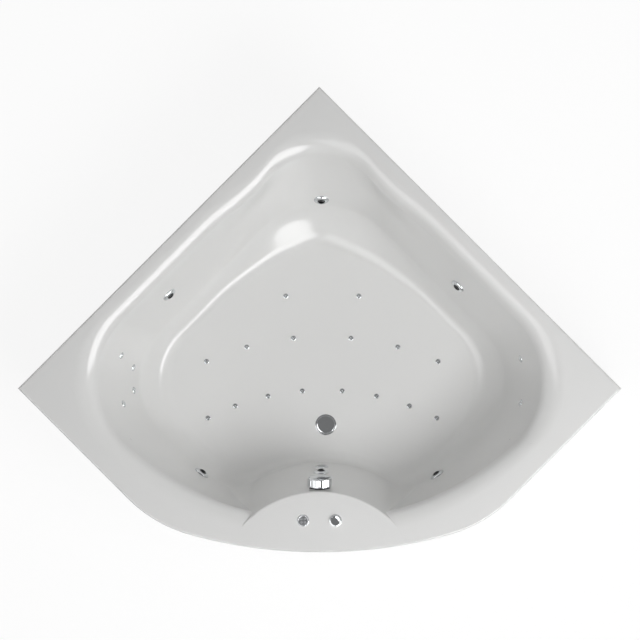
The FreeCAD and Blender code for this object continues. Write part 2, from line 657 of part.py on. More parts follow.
def jet_ring(seat):
    """Chrome ring that covers the flange and holds the ball."""
    cup = JET_FLANGE_R + GAP
    roof = JET_GASKET_T + 2 + GAP
    socket = JET_BALL_R + GAP

    def on_socket(height):
        return math.sqrt(socket ** 2 - (height - JET_BALL_DEPTH) ** 2)

    middle = (roof + JET_RING_H) / 2
    return turned([(cup, GAP), (JET_RING_R, GAP), (JET_RING_R, 2.5),
                   (JET_RING_R - 8.5, JET_RING_H, JET_RING_R - 2.6, 6.0), (on_socket(JET_RING_H), JET_RING_H),
                   (on_socket(roof), roof, on_socket(middle), middle), (cup, roof)], seat[0], seat[1])


def jet_nozzle(seat):
    """Swivelling ball with its mouth."""
    reach_front, reach_back = 10.5, 9.0
    front = JET_BALL_DEPTH + reach_front
    back = JET_BALL_DEPTH - reach_back
    front_r = math.sqrt(JET_BALL_R ** 2 - reach_front ** 2)
    back_r = math.sqrt(JET_BALL_R ** 2 - reach_back ** 2)
    return turned([(JET_BORE_R, back), (back_r, back), (front_r, front, JET_BALL_R, JET_BALL_DEPTH),
                   (front_r - 0.9, front), (JET_BORE_R, front - 5)], seat[0], seat[1])


def jet_nut(seat):
    """Ring nut behind the wall, with six gripping notches."""
    nut = ring(JET_TUBE_R + 7, JET_TUBE_R + SLIDE_GAP, 9, along(seat, -SEAT_BOSS - 9), seat[1])
    notch = Part.makeCylinder(2.5, 12, along(seat, -SEAT_BOSS - 10), seat[1])
    side = seat[1].cross(UP).normalize() * (JET_TUBE_R + 8)
    notches = []
    for k in range(6):
        copy = notch.copy()
        copy.translate(FreeCAD.Rotation(seat[1], 60 * k).multVec(side))
        notches.append(copy)
    return nut.cut(Part.makeCompound(notches))


def jet_gasket(seat):
    return ring(JET_FLANGE_R - 0.5, BODY_BORE["jet"] + GAP, JET_GASKET_T, seat[0], seat[1])


def micro_jet(seat):
    """Small fixed jet: a domed cap with its outlet."""
    return turned([(3, -8), (BODY_BORE["micro"] - GAP - 2, -8), (BODY_BORE["micro"] - GAP - 2, 0), (MICRO_R, 0),
                   (MICRO_R, 1.2), (MICRO_R - 2, 3), (5, 4), (4, 3), (3, 3)], seat[0], seat[1])


def micro_jet_body(seat):
    """Tube and nut behind a small jet."""
    inner = BODY_BORE["micro"] - GAP - 2
    tube = turned([(inner, SEAT_BOSS - 8), (BODY_BORE["micro"] - GAP, SEAT_BOSS - 8), (BODY_BORE["micro"] - GAP, -18),
                   (0, -26), (0, -9), (inner, -9)], seat[0], seat[1])
    nut = ring(13, BODY_BORE["micro"] - GAP, 7, along(seat, -SEAT_BOSS - 7), seat[1])
    back = along(seat, MICRO_NIPPLE_H)
    nipple = rod(5, back, back - UP * MICRO_NIPPLE_L)
    return tube.multiFuse([nut, nipple])


# ---------------------------------------------------------------- waste and overflow
def waste_point(z):
    return Vector(WASTE[0], WASTE[1], z)


def waste_flange():
    """Chrome dish on the basin floor with its threaded tail and a cross that guides the plug stem."""
    z = FLOOR_Z
    dish = turned([(WASTE_BORE_R, z + 1.2), (WASTE_R - 9, z + 1.2), (WASTE_R - 3, z + 2.2), (WASTE_R, z + 1.2),
                   (WASTE_R, z), (WASTE_TAIL_R, z), (WASTE_TAIL_R, z - 34), (WASTE_BORE_R, z - 34)], waste_point(0))
    hub = ring(6, 3 + PIN_GAP, 10, waste_point(z - 34))
    arms = []
    for degrees in (0, 60, 120):
        arm = box(-WASTE_BORE_R - 1, -1, z - 34, WASTE_BORE_R + 1, 1, z - 28)
        arm.rotate(Vector(0, 0, 0), UP, degrees)
        arm.translate(waste_point(0))
        arms.append(arm)
    cross = fused(arms).cut(Part.makeCylinder(4, 60, waste_point(z - 60)))
    return dish.multiFuse([cross, hub])


def waste_seal():
    """Rubber ring between the shell and the waste body."""
    return ring(32, WASTE_TAIL_R + GAP, 3, waste_point(BOARD_TOP - 3))


def waste_body():
    """Plastic body under the floor: flange, cup, overflow port and cable port."""
    top = BOARD_TOP - 3
    cup = turned([(WASTE_TAIL_R + PIN_GAP, top), (34, top), (34, top - 4), (26, top - 6), (26, WASTE_PORT_Z - 20),
                  (WASTE_BORE_R, WASTE_PORT_Z - 20), (WASTE_BORE_R, FLOOR_Z - 34 - GAP),
                  (WASTE_TAIL_R + PIN_GAP, FLOOR_Z - 34 - GAP)], waste_point(0))
    centre = waste_point(WASTE_PORT_Z)
    port = rod(OVERFLOW_PIPE_R, centre + Vector(0, -20, 0), centre + Vector(0, -44, 0))
    port = port.cut(rod(OVERFLOW_PIPE_R - 3, centre, centre + Vector(0, -44, 0)))
    cable_socket = rod(6, cable_port(20), cable_port(40))
    bored = cup.cut(rod(OVERFLOW_PIPE_R - 3, centre, centre + Vector(0, -30, 0)))
    return bored.multiFuse([port.cut(Part.makeCylinder(22, 60, waste_point(WASTE_PORT_Z - 20))), cable_socket])


def cable_port(reach):
    """A point on the axis of the waste body's cable socket, which points towards the front and slightly right."""
    turn = math.radians(CABLE_PORT_TURN)
    return waste_point(WASTE_PORT_Z - 6) + Vector(math.cos(turn), math.sin(turn), 0) * reach


def waste_plug():
    """Chrome cap on a stem that rises to open the waste."""
    cap = turned([(0, CAP_Z), (PLUG_R - 1, CAP_Z), (PLUG_R, CAP_Z + 1), (PLUG_R - 1, CAP_Z + 2.4),
                  (PLUG_R - 5, CAP_Z + 3.6), (0, CAP_Z + 4.6)], waste_point(0))
    stem = Part.makeCylinder(3, CAP_Z - WASTE_PORT_Z + 4, waste_point(WASTE_PORT_Z - 4))
    return cap.fuse(stem)


def plug_seal():
    """Rubber ring under the plug."""
    return ring(23, 20, CAP_Z - FLOOR_Z - 1.2 - GAP, waste_point(FLOOR_Z + 1.2 + GAP))


def waste_trap():
    """Trap under the waste with its outlet, a plain pipe end."""
    z = OUTLET_Z
    cup = turned([(0, z - 27), (32, z - 27), (38, z - 21), (38, z + 21), (28, z + 25), (28, WASTE_PORT_Z - 20),
                  (WASTE_BORE_R, WASTE_PORT_Z - 20), (WASTE_BORE_R, z - 7), (WASTE_BORE_R - 3, z - 7),
                  (WASTE_BORE_R - 3, z - 17), (0, z - 17)], waste_point(0))
    start = waste_point(z) + Vector(-30, 0, 0)
    end = Vector(OUTLET_X, WASTE[1], z)
    outlet = rod(TRAP_PIPE_R - 1, start, end).fuse(rod(TRAP_PIPE_R, end + Vector(SPIGOT_L, 0, 0), end))
    bore = rod(TRAP_PIPE_R - 2.5, start + Vector(-14, 0, 0), end)
    return cup.fuse(outlet).cut(bore)


def overflow_body():
    """Plastic body behind the front wall: face, chamber, pipe outlet and cable outlet."""
    point, normal = OVERFLOW_SEAT
    bore = BODY_BORE["overflow"] - GAP
    face = turned([(8, 0), (OVERFLOW_R - 4, 0), (OVERFLOW_R - 4, 2), (OVERFLOW_R - 8, 4), (8, 4)], point, normal)
    slots = []
    side = normal.cross(Vector(1, 0, 0)).normalize() * 18
    for k in range(6):
        centre = point + FreeCAD.Rotation(normal, 60 * k).multVec(side)
        slots.append(Part.makeCylinder(5, 12, centre - normal * 2, normal))
    face = face.cut(Part.makeCompound(slots))
    chamber = turned([(bore, 0), (bore, -44), (PIN_GAP + SPINDLE_R, -44), (PIN_GAP + SPINDLE_R, 0), (9, 0),
                      (9, -38), (bore - 3, -38), (bore - 3, 0)], point, normal)
    outlet_top = along(OVERFLOW_SEAT, -30) + Vector(-12, 0, -18)
    outlet = rod(OVERFLOW_PIPE_R, outlet_top, outlet_top - UP * 22)
    cable_top = along(OVERFLOW_SEAT, -36) + Vector(16, 0, -14)
    cable = rod(5, cable_top, cable_top - UP * 22)
    nut = ring(bore + 9, bore + PIN_GAP, 8, along(OVERFLOW_SEAT, -SEAT_BOSS - 8), normal)
    inside = Part.makeCylinder(bore - 3, 38, along(OVERFLOW_SEAT, -38), normal)
    inside = inside.cut(Part.makeCylinder(9, 38, along(OVERFLOW_SEAT, -38), normal))
    return face.multiFuse([chamber, outlet.cut(inside), cable.cut(inside), nut])


def overflow_knob():
    """Chrome drum with grip flutes, open behind so that water can enter all round."""
    point, normal = OVERFLOW_SEAT
    wall = 2.5
    drum = turned([(OVERFLOW_R - wall, 8), (OVERFLOW_R, 8), (OVERFLOW_R, OVERFLOW_H - 3),
                   (OVERFLOW_R - 1, OVERFLOW_H - 1), (OVERFLOW_R - 3, OVERFLOW_H), (0, OVERFLOW_H - 1.5),
                   (0, OVERFLOW_H - 1.5 - wall), (OVERFLOW_R - wall, OVERFLOW_H - wall)], point, normal)
    flute = Part.makeCylinder(3.2, OVERFLOW_H, along(OVERFLOW_SEAT, 12), normal)
    side = normal.cross(Vector(1, 0, 0)).normalize() * (OVERFLOW_R + 2.2)
    cuts = []
    for k in range(OVERFLOW_FLUTES):
        copy = flute.copy()
        copy.translate(FreeCAD.Rotation(normal, 360.0 * k / OVERFLOW_FLUTES).multVec(side))
        cuts.append(copy)
    hub = Part.makeCylinder(7.5, OVERFLOW_H - 5 - wall, along(OVERFLOW_SEAT, 5), normal)
    spindle = Part.makeCylinder(SPINDLE_R, 55, along(OVERFLOW_SEAT, -40), normal)
    return drum.cut(Part.makeCompound(cuts)).multiFuse([hub, spindle])


def overflow_pipe():
    """Pipe from the overflow body to the waste body, past the pipes behind the front wall."""
    top = along(OVERFLOW_SEAT, -30) + Vector(-12, 0, -40)
    end = waste_point(WASTE_PORT_Z) + Vector(0, -44, 0)
    y = FRONT_Y + 123.5
    return bent_pipe([top, (top.x, top.y, top.z - 30), (-62, y, HEIGHT - 180), (-62, y, WASTE_PORT_Z + 40),
                      (-40, y + 40, WASTE_PORT_Z), (end.x, end.y - 60, WASTE_PORT_Z), end], OVERFLOW_PIPE_R, 60)


def waste_cable():
    """Sheathed cable from the overflow knob to the lifting gear under the plug."""
    start = along(OVERFLOW_SEAT, -36) + Vector(16, 0, -36)
    end = cable_port(40)
    high = [(22, 157.5, 188), (26, 137.5, 230), (26, 123.5, 275), (20, 117.5, 322), (13, 119.5, 368)]
    low = [(7, 129.5, 70), (4, 151.5, 32), (10, 185.5, 8), (26, 218.5, -2), (44, 255.5, -6), (56, 297.5, -6)]
    points = [start, start - UP * 45]
    points += [Vector(x, FRONT_Y + y, HEIGHT - z) for x, y, z in high]
    points += [Vector(x, FRONT_Y + y, WASTE_PORT_Z + z) for x, y, z in low]
    points += [cable_port(86), end]
    edges, radii = [], []
    start = points[0]
    for before, corner, after in zip(points, points[1:], points[2:]):
        arrive = (corner - before).normalize()
        leave = (after - corner).normalize()
        half = arrive.getAngle(leave) / 2
        reach = 0.45 * min((corner - before).Length, (after - corner).Length)
        radius = reach / math.tan(half)
        middle = corner + (leave - arrive).normalize() * radius * (1 / math.cos(half) - 1)
        edges.append(Part.LineSegment(start, corner - arrive * reach).toShape())
        edges.append(Part.Arc(corner - arrive * reach, middle, corner + leave * reach).toShape())
        start = corner + leave * reach
        radii.append(round(radius, 1))
    edges.append(Part.LineSegment(start, points[-1]).toShape())
    path = Part.Wire(edges)
    circle = Part.Wire([Part.makeCircle(CABLE_R, points[0], points[1] - points[0])])
    cable = path.makePipeShell([circle], True, False)
    print("waste cable: arc radii", radii)
    print("waste cable: volume / (section x length)",
          round(cable.Volume / (math.pi * CABLE_R ** 2 * path.Length), 4))
    return cable


# ---------------------------------------------------------------- suction, pump and pipes
def suction_cover():
    """Chrome cover with a ring of holes."""
    point, normal = SUCTION_SEAT
    cover = turned([(0, 1.5), (SUCTION_R - 6, 1.5), (SUCTION_R - 6, 0), (SUCTION_R, 0), (SUCTION_R, 1.5),
                    (SUCTION_R - 2, 3.4), (SUCTION_R - 6, 4.6), (0, 5)], point, normal)
    side = normal.cross(Vector(1, 0, 0)).normalize()
    holes = [Part.makeCylinder(1.8, 12, point - normal * 2, normal)]
    for radius, count in ((6.0, 6), (11.5, 12)):
        for k in range(count):
            offset = FreeCAD.Rotation(normal, 360.0 * k / count).multVec(side * radius)
            holes.append(Part.makeCylinder(1.8, 12, point + offset - normal * 2, normal))
    return cover.cut(Part.makeCompound(holes))


def suction_body():
    """Elbow behind the cover with its nut."""
    bore = BODY_BORE["suction"] - GAP
    point, normal = SUCTION_SEAT
    tube = ring(bore, bore - 3, 46, along(SUCTION_SEAT, -46), normal)
    cap = Part.makeCylinder(bore + 2, 22, along(SUCTION_SEAT, -64), normal)
    nut = ring(bore + 8, bore - 1, 9, along(SUCTION_SEAT, -SEAT_BOSS - 9), normal)
    centre = along(SUCTION_SEAT, -53)
    outlet = rod(SUCTION_PIPE_R + 2, centre, centre + Vector(32, 0, 0))
    return tube.multiFuse([cap, nut, outlet])


def suction_pipe():
    """From the suction elbow down to the pump's inlet."""
    start = along(SUCTION_SEAT, -53) + Vector(32, 0, 0)
    y, z = PUMP_AXIS
    end = PUMP_X - PUMP_W / 2 - PUMP_NECK
    return bent_pipe([start, (75, start.y, start.z), (75, y, start.z - 30), (75, y, z), (end - GAP, y, z)],
                     SUCTION_PIPE_R, 40)


def pump_outlet(z):
    return Vector(PUMP_X - 4, PUMP_AXIS[0] + OUTLET_SIDE, z)


def pump_housing():
    """Wet end: a round volute with its clamp flange and its inlet and outlet necks."""
    y, z = PUMP_AXIS
    low = PUMP_X - PUMP_W / 2
    axis = Vector(1, 0, 0)
    volute = turned([(0, 0), (PUMP_R - 12, 0), (PUMP_R, 12, PUMP_R - 4, 4), (PUMP_R, PUMP_W - 14),
                     (PUMP_R + 5, PUMP_W - 12), (PUMP_R + 5, PUMP_W - 4), (PUMP_R - 6, PUMP_W), (0, PUMP_W)],
                    Vector(low, y, z), axis)
    inlet = rod(SUCTION_PIPE_R + 2, Vector(low, y, z), Vector(low - PUMP_NECK, y, z))
    outlet = rod(WATER_R + 2, pump_outlet(z), pump_outlet(z + PUMP_R + 5 + PUMP_NECK))
    return volute.multiFuse([inlet, outlet])


def union_nuts():
    """Ring nuts that join the pipes to the necks of the pump."""
    y, z = PUMP_AXIS
    nuts = []
    for pipe_r, end, way in ((SUCTION_PIPE_R, Vector(PUMP_X - PUMP_W / 2 - PUMP_NECK, y, z), Vector(1, 0, 0)),
                             (WATER_R, pump_outlet(z + PUMP_R + 5 + PUMP_NECK), -UP)):
        neck_r = pipe_r + 2
        nut = turned([(neck_r + PIN_GAP, 0), (neck_r + PIN_GAP, 16), (neck_r + 8, 16), (neck_r + 8, -8),
                      (neck_r + 5, -11), (pipe_r + PIN_GAP, -11), (pipe_r + PIN_GAP, 0)], end, way)
        notch = Part.makeCylinder(3, 30, end - way * 12, way)
        side = way.cross(Vector(0, 1, 0)).normalize() * (neck_r + 9.5)
        cuts = []
        for k in range(8):
            copy = notch.copy()
            copy.translate(FreeCAD.Rotation(way, 45 * k).multVec(side))
            cuts.append(copy)
        nuts.append(nut.cut(Part.makeCompound(cuts)))
    return Part.makeCompound(nuts)


def pump_motor():
    """Motor with cooling ribs, fan cowl and terminal box."""
    y, z = PUMP_AXIS
    start = PUMP_X + PUMP_W / 2
    axis = Vector(1, 0, 0)
    body = turned([(0, 0), (MOTOR_R - 8, 0), (MOTOR_R - 8, MOTOR_L - 34), (MOTOR_R, MOTOR_L - 34),
                   (MOTOR_R, MOTOR_L - 8), (MOTOR_R - 8, MOTOR_L), (0, MOTOR_L)], Vector(start, y, z), axis)
    ribs = []
    for k in range(20):
        rib = box(start + 6, y - 1.5, z + MOTOR_R - 12, start + MOTOR_L - 34, y + 1.5, z + MOTOR_R - 2)
        rib.rotate(Vector(start, y, z), axis, 18 * k)
        ribs.append(rib)
    terminals = box(start + 30, y - 32, z + MOTOR_R - 10, start + 110, y + 32, z + MOTOR_R + 20)
    return body.multiFuse(ribs + [terminals])


def pump_base():
    """Foot bracket under the motor, which stands on the room floor on rubber strips."""
    y, z = PUMP_AXIS
    start = PUMP_X + PUMP_W / 2 + 14
    plate = box(start, y - 46, 8, start + 110, y + 46, 12)
    cradle = box(start + 8, y - 36, 12, start + 102, y + 36, z - 20)
    cradle = cradle.cut(Part.makeCylinder(MOTOR_R - 2 + GAP, 200, Vector(start - 20, y, z), Vector(1, 0, 0)))
    middle = box(start + 20, y - 30, 12, start + 90, y + 30, z)
    strips = [box(start + 4, y + s * 36 - 8, 0, start + 106, y + s * 36 + 8, 8) for s in (-1, 1)]
    return plate.multiFuse([cradle.cut(middle)] + strips)


def ring_route(height, shift, z):
    """Way of a pipe round the basin, under the inlets of all the jets, shift outside the water pipe."""
    def feed(name):
        point = along(SEATS[name], height)
        return (point.x, point.y, z)

    corners = [(RING_LOBE[0], RING_LOBE[1] - shift), (RING_FRONT[0] + 0.8 * shift, RING_FRONT[1] - 0.8 * shift),
               (RING_LOW[0] + shift, RING_LOW[1]), (RING_HIGH[0] + shift, RING_HIGH[1]),
               (RING_SHOULDER[0] + 0.5 * shift, RING_SHOULDER[1] + shift)]
    lobe, front, low, high, shoulder = corners

    def left(corner):
        return (-corner[0], corner[1], z)

    def right(corner):
        return (corner[0], corner[1], z)

    return [feed("island"), left(lobe), feed("front_left"), left(front), left(low), left(high), feed("left"),
            left(shoulder), feed("apex"), right(shoulder), feed("right"), right(high), right(low), right(front),
            feed("front_right")]


def stub_place(seat):
    """Where a small jet's hose meets the water pipe."""
    top = along(seat, MICRO_NIPPLE_H)
    side = math.copysign(RING_LOW[0], top.x)
    x = top.x if abs(top.x - side) < 10 else side
    return Vector(x, top.y, WATER_Z + WATER_R + 8)


def water_manifold():
    """Water pipe from the pump round the basin, with a riser to each jet and stubs for the small jets."""
    route = ring_route(JET_WATER_H, 0, WATER_Z)
    start = pump_outlet(PUMP_AXIS[1] + PUMP_R + 5 + PUMP_NECK + GAP)
    feed_y = route[0][1]
    first = bent_pipe([start, (start.x, start.y, WATER_Z + 47), (180, FRONT_Y + 198.5, WATER_Z + 40),
                       (130, FRONT_Y + 217.5, WATER_Z), (60, feed_y, WATER_Z), route[0]], WATER_R, 40)
    rest = bent_pipe(route, WATER_R, 60)
    pieces = [rest, Part.makeSphere(WATER_R, Vector(*route[0]))]
    for name in SEATS:
        inlet, way = water_inlet(name)
        end = inlet + way * JET_INLET_L
        if way.z:
            pieces.append(rod(12, Vector(end.x, end.y, WATER_Z), end))
        else:
            corner = end + way * 42
            pieces.append(bent_pipe([end, corner, Vector(corner.x, corner.y, WATER_Z)], 12, 18))
    for seat in MICRO_SEATS:
        top = stub_place(seat)
        pieces.append(rod(7, Vector(top.x, top.y, WATER_Z), top))
    return first.multiFuse(pieces)


def venturi_pipe():
    """Air pipe from the regulator on the deck round to every jet."""
    route = ring_route(JET_AIR_H, VENTURI_SHIFT, VENTURI_Z)
    corner = (CONTROL_X - 24, route[0][1] - 34, VENTURI_Z)
    first = bent_pipe([(CONTROL_X, CONTROL_Y, REGULATOR_END - GAP), (CONTROL_X, CONTROL_Y, VENTURI_Z + 40),
                       corner, route[0]], VENTURI_R, 20)
    rest = bent_pipe(route, VENTURI_R, 50)
    pieces = [rest, Part.makeSphere(VENTURI_R, Vector(*route[0]))]
    for seat in SEATS.values():
        end = along(seat, JET_AIR_H) - UP * JET_NIPPLE_L
        pieces.append(rod(6, Vector(end.x, end.y, VENTURI_Z), end))
    return first.multiFuse(pieces)


def micro_hoses():
    """Small hoses from the water pipe to the small jets."""
    hoses = []
    for seat in MICRO_SEATS:
        top = along(seat, MICRO_NIPPLE_H) - UP * MICRO_NIPPLE_L
        end = stub_place(seat)
        if abs(top.x - end.x) < 1:
            hoses.append(rod(MICRO_HOSE_R, top, end))
        else:
            hoses.append(bent_pipe([top, (top.x, top.y, end.z + 24), (end.x, end.y, end.z + 18), end],
                                   MICRO_HOSE_R, 12))
    return Part.makeCompound(hoses)


# ---------------------------------------------------------------- floor air system
def air_nozzles():
    """Domed caps on the basin floor with their stems through the shell."""
    profile = [(0, FLOOR_Z), (NOZZLE_CAP_R, FLOOR_Z), (NOZZLE_CAP_R, FLOOR_Z + 0.8), (NOZZLE_CAP_R - 2, FLOOR_Z + 2),
               (0, FLOOR_Z + 2.6)]
    caps = []
    for x, y in NOZZLES:
        cap = turned(profile, Vector(x, y, 0))
        stem = Part.makeCylinder(NOZZLE_STEM_R, FLOOR_Z - BOARD_TOP + 1, Vector(x, y, BOARD_TOP - 1))
        caps.append(cap.fuse(stem))
    return Part.makeCompound(caps)


def injector_bodies():
    """Nut and tail of each air nozzle under the shell, down to the air pipe."""
    bodies = []
    for x, y in NOZZLES:
        nut = turned([(0, BOARD_TOP - 1), (NOZZLE_STEM_R + PIN_GAP, BOARD_TOP - 1), (NOZZLE_STEM_R + PIN_GAP, BOARD_TOP),
                      (BOARD_NOZZLE_R - 3, BOARD_TOP), (BOARD_NOZZLE_R - 3, BOARD_TOP - 8), (7, BOARD_TOP - 9),
                      (7, AIR_PIPE_Z + AIR_PIPE_R + GAP), (0, AIR_PIPE_Z + AIR_PIPE_R + GAP)], Vector(x, y, 0))
        bodies.append(nut)
    return Part.makeCompound(bodies)


def arc_row(row):
    """Air pipe under a curved row of nozzles, level, from its left end to the header."""
    radius, nearest, angles = row
    centre = Vector(0, nearest - radius, AIR_PIPE_Z)
    first = math.radians(90 + angles[-1] + 1.6)
    last = math.acos(AIR_HEADER_X / radius)
    start = centre + Vector(radius * math.cos(first), radius * math.sin(first), 0)
    end = centre + Vector(radius * math.cos(last), radius * math.sin(last), 0)
    along_row = Vector(-math.sin(first), math.cos(first), 0)
    section = Part.Face(Part.Wire([Part.makeCircle(AIR_PIPE_R, start, along_row)]))
    return section.revolve(centre, UP, math.degrees(last - first)), end.y


def floor_air_pipe():
    """Rows under the nozzles, the header that feeds them and the duct from the blower."""
    x, y = REAR_NOZZLES
    z = AIR_PIPE_Z
    middle, middle_y = arc_row(MIDDLE_ROW)
    front, front_y = arc_row(FRONT_ROW)
    header = bent_pipe([(-x - 22, y, z), (AIR_HEADER_X - 60, y, z), (AIR_HEADER_X, y - 60, z),
                        (AIR_HEADER_X, front_y, z)], AIR_PIPE_R, 50)
    duct = rod(AIR_PIPE_R + 2, Vector(AIR_HEADER_X, MAIN_BEAM[1], z),
               Vector(BLOWER_X - BLOWER_R - 18, MAIN_BEAM[1], z))
    ends = [Part.makeSphere(AIR_PIPE_R, Vector(AIR_HEADER_X, end, z)) for end in (middle_y, front_y)]
    return header.multiFuse([middle, front, duct] + ends)


def blower():
    """Fan housing with its outlet, motor can and foot plate, bolted to the end of the main beam."""
    y = MAIN_BEAM[1]
    low = TUBE_TOP + 4
    plate = box(BLOWER_X - 55, y - 55, TUBE_TOP, BLOWER_X + 55, y + 55, low)
    drum = turned([(0, 0), (BLOWER_R - 6, 0), (BLOWER_R, 6), (BLOWER_R, BLOWER_H - 10), (BLOWER_R - 10, BLOWER_H),
                   (44, BLOWER_H), (44, BLOWER_H + 20), (36, BLOWER_H + 28), (0, BLOWER_H + 28)],
                  Vector(BLOWER_X, y, low))
    outlet = rod(AIR_PIPE_R + 4, Vector(BLOWER_X - BLOWER_R + 12, y, AIR_PIPE_Z),
                 Vector(BLOWER_X - BLOWER_R - 18, y, AIR_PIPE_Z))
    slots = []
    for k in range(10):
        slot = box(38, -2, low + BLOWER_H + 5, 60, 2, low + BLOWER_H + 18)
        slot.rotate(Vector(0, 0, 0), UP, 36 * k)
        slot.translate(Vector(BLOWER_X, y, 0))
        slots.append(slot)
    return drum.cut(Part.makeCompound(slots)).multiFuse([plate, outlet])


def control_box():
    """Electric control box on the other end of the main beam, with its lid and cable glands."""
    x, length, width, height = CONTROL_BOX
    y = MAIN_BEAM[1]
    case = box(x - length / 2, y - width / 2, TUBE_TOP, x + length / 2, y + width / 2, TUBE_TOP + height)
    case = case.makeFillet(6, [e for e in case.Edges if abs(e.tangentAt(e.FirstParameter).z) > 0.9])
    lid = box(x - length / 2 + 3, y - width / 2 + 3, TUBE_TOP + height, x + length / 2 - 3, y + width / 2 - 3,
              TUBE_TOP + height + 10)
    lid = lid.makeFillet(4, [e for e in lid.Edges if e.BoundBox.ZMax > TUBE_TOP + height + 1])
    glands = [rod(9, Vector(x + length / 2 - 1, y + s, TUBE_TOP + 30), Vector(x + length / 2 + 12, y + s, TUBE_TOP + 30))
              for s in (-40, 0, 40)]
    return case.multiFuse([lid] + glands)


# ---------------------------------------------------------------- deck controls
def keypad_housing():
    """Round pad with a chrome bezel, four key wells and its nut under the deck."""
    base = Vector(-CONTROL_X, CONTROL_Y, 0)
    body = turned([(0, HEIGHT - 34), (CONTROL_STEM_R, HEIGHT - 34), (CONTROL_STEM_R, HEIGHT), (KEYPAD_R, HEIGHT),
                   (KEYPAD_R, HEIGHT + 1), (KEYPAD_R - 2, HEIGHT + 3.2), (KEYPAD_R - 4.5, HEIGHT + 3.2),
                   (KEYPAD_R - 5.5, HEIGHT + 2.2), (0, HEIGHT + 2.2)], base)
    wells = [Part.makeCylinder(KEY_R + SLIDE_GAP, 10, Vector(x, y, HEIGHT - 4)) for x, y in key_places()]
    return body.cut(Part.makeCompound(wells))


def key_places():
    half = KEY_PITCH / 2
    return [(-CONTROL_X + sx * half, CONTROL_Y + sy * half) for sy in (1, -1) for sx in (-1, 1)]


def keypad_key(place):
    """One key, which dips when it is pressed."""
    x, y = place
    bottom = HEIGHT - 4 + KEY_TRAVEL + GAP
    top = HEIGHT + 3.4
    return turned([(0, bottom), (KEY_R, bottom), (KEY_R, top - 0.6), (KEY_R - 0.6, top), (0, top + 0.2)],
                  Vector(x, y, 0))


def deck_nuts():
    """Nuts that clamp the two controls under the deck board."""
    z = DECK_UNDER - DECK_BOARD_T - 9
    nuts = []
    for x in (-CONTROL_X, CONTROL_X):
        nuts.append(hexagon(44, 9, Vector(x, CONTROL_Y, z)).cut(
            Part.makeCylinder(CONTROL_STEM_R + PIN_GAP, 40, Vector(x, CONTROL_Y, z - 5))))
    return Part.makeCompound(nuts)


def regulator_body():
    """Air regulator under its knob: rim, threaded stem and hose tail."""
    base = Vector(CONTROL_X, CONTROL_Y, 0)
    body = turned([(PEG_R + PIN_GAP, HEIGHT - 20), (PEG_R + PIN_GAP, HEIGHT + 2), (KNOB_R + 1.5, HEIGHT + 2),
                   (KNOB_R + 1.5, HEIGHT), (CONTROL_STEM_R, HEIGHT), (CONTROL_STEM_R, HEIGHT - 38), (9, HEIGHT - 42),
                   (9, REGULATOR_END), (0, REGULATOR_END), (0, HEIGHT - 20)], base)
    return body


def regulator_knob():
    """Dished round knob with grip flutes and the peg that it turns on."""
    base = Vector(CONTROL_X, CONTROL_Y, 0)
    low = HEIGHT + 2 + GAP
    top = HEIGHT + 2 + KNOB_H
    knob = turned([(0, HEIGHT - 20 + GAP), (PEG_R, HEIGHT - 20 + GAP), (PEG_R, low), (KNOB_R, low), (KNOB_R, top - 3),
                   (KNOB_R - 1, top - 0.8), (KNOB_R - 3, top), (KNOB_R - 5, top - 0.6), (8, top - 2.4), (0, top - 2.8)],
                  base)
    return knob


# ---------------------------------------------------------------- export
def export(name, shape):
    shape.exportStep("parts/" + name + ".step")


def build():
    os.makedirs("parts", exist_ok=True)
    single = [tub_shell, floor_board, deck_board, support_frame, wood_blocks, foot_studs, foot_nuts,
              foot_pads, front_panel, panel_clips, waste_flange, waste_seal, waste_body, waste_plug, plug_seal,
              waste_trap, overflow_body, overflow_knob, overflow_pipe, waste_cable, suction_cover, suction_body,
              suction_pipe, pump_housing, pump_motor, pump_base, union_nuts, water_manifold, venturi_pipe,
              micro_hoses, air_nozzles, injector_bodies, floor_air_pipe, blower, control_box, keypad_housing,
              deck_nuts, regulator_body, regulator_knob]
    for make in single:
        export(make.__name__, make())
    export("jet_bodies", Part.makeCompound([jet_body(name) for name in SEATS]))
    for name, make in (("jet_nuts", jet_nut), ("jet_gaskets", jet_gasket)):
        export(name, Part.makeCompound([make(seat) for seat in SEATS.values()]))
    for name, make in (("micro_jets", micro_jet), ("micro_jet_bodies", micro_jet_body)):
        export(name, Part.makeCompound([make(seat) for seat in MICRO_SEATS]))
    for name, seat in SEATS.items():
        export("jet_ring_" + name, jet_ring(seat))
        export("jet_nozzle_" + name, jet_nozzle(seat))
    for number, place in enumerate(key_places(), 1):
        export("keypad_key_%d" % number, keypad_key(place))


build()
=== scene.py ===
import json
import math

import bmesh
import bpy
import numpy as np
from mathutils import Matrix, Vector


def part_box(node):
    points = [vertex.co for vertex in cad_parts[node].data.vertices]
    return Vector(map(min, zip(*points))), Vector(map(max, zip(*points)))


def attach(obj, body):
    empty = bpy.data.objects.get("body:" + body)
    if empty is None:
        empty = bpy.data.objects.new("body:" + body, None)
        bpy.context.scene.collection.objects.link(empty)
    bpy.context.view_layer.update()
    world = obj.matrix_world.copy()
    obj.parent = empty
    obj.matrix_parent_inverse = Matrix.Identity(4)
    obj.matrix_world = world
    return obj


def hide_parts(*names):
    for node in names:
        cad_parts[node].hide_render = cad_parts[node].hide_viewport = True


bl_info = {
    "name": "Corner Jet Bath",
    "version": (1, 0, 0),
    "blender": (4, 5, 0),
    "location": "View3D > Sidebar > Bath",
    "description": "Dresses a corner bath: shell, panel, jets, waste, controls and the works behind it",
    "category": "Object",
}

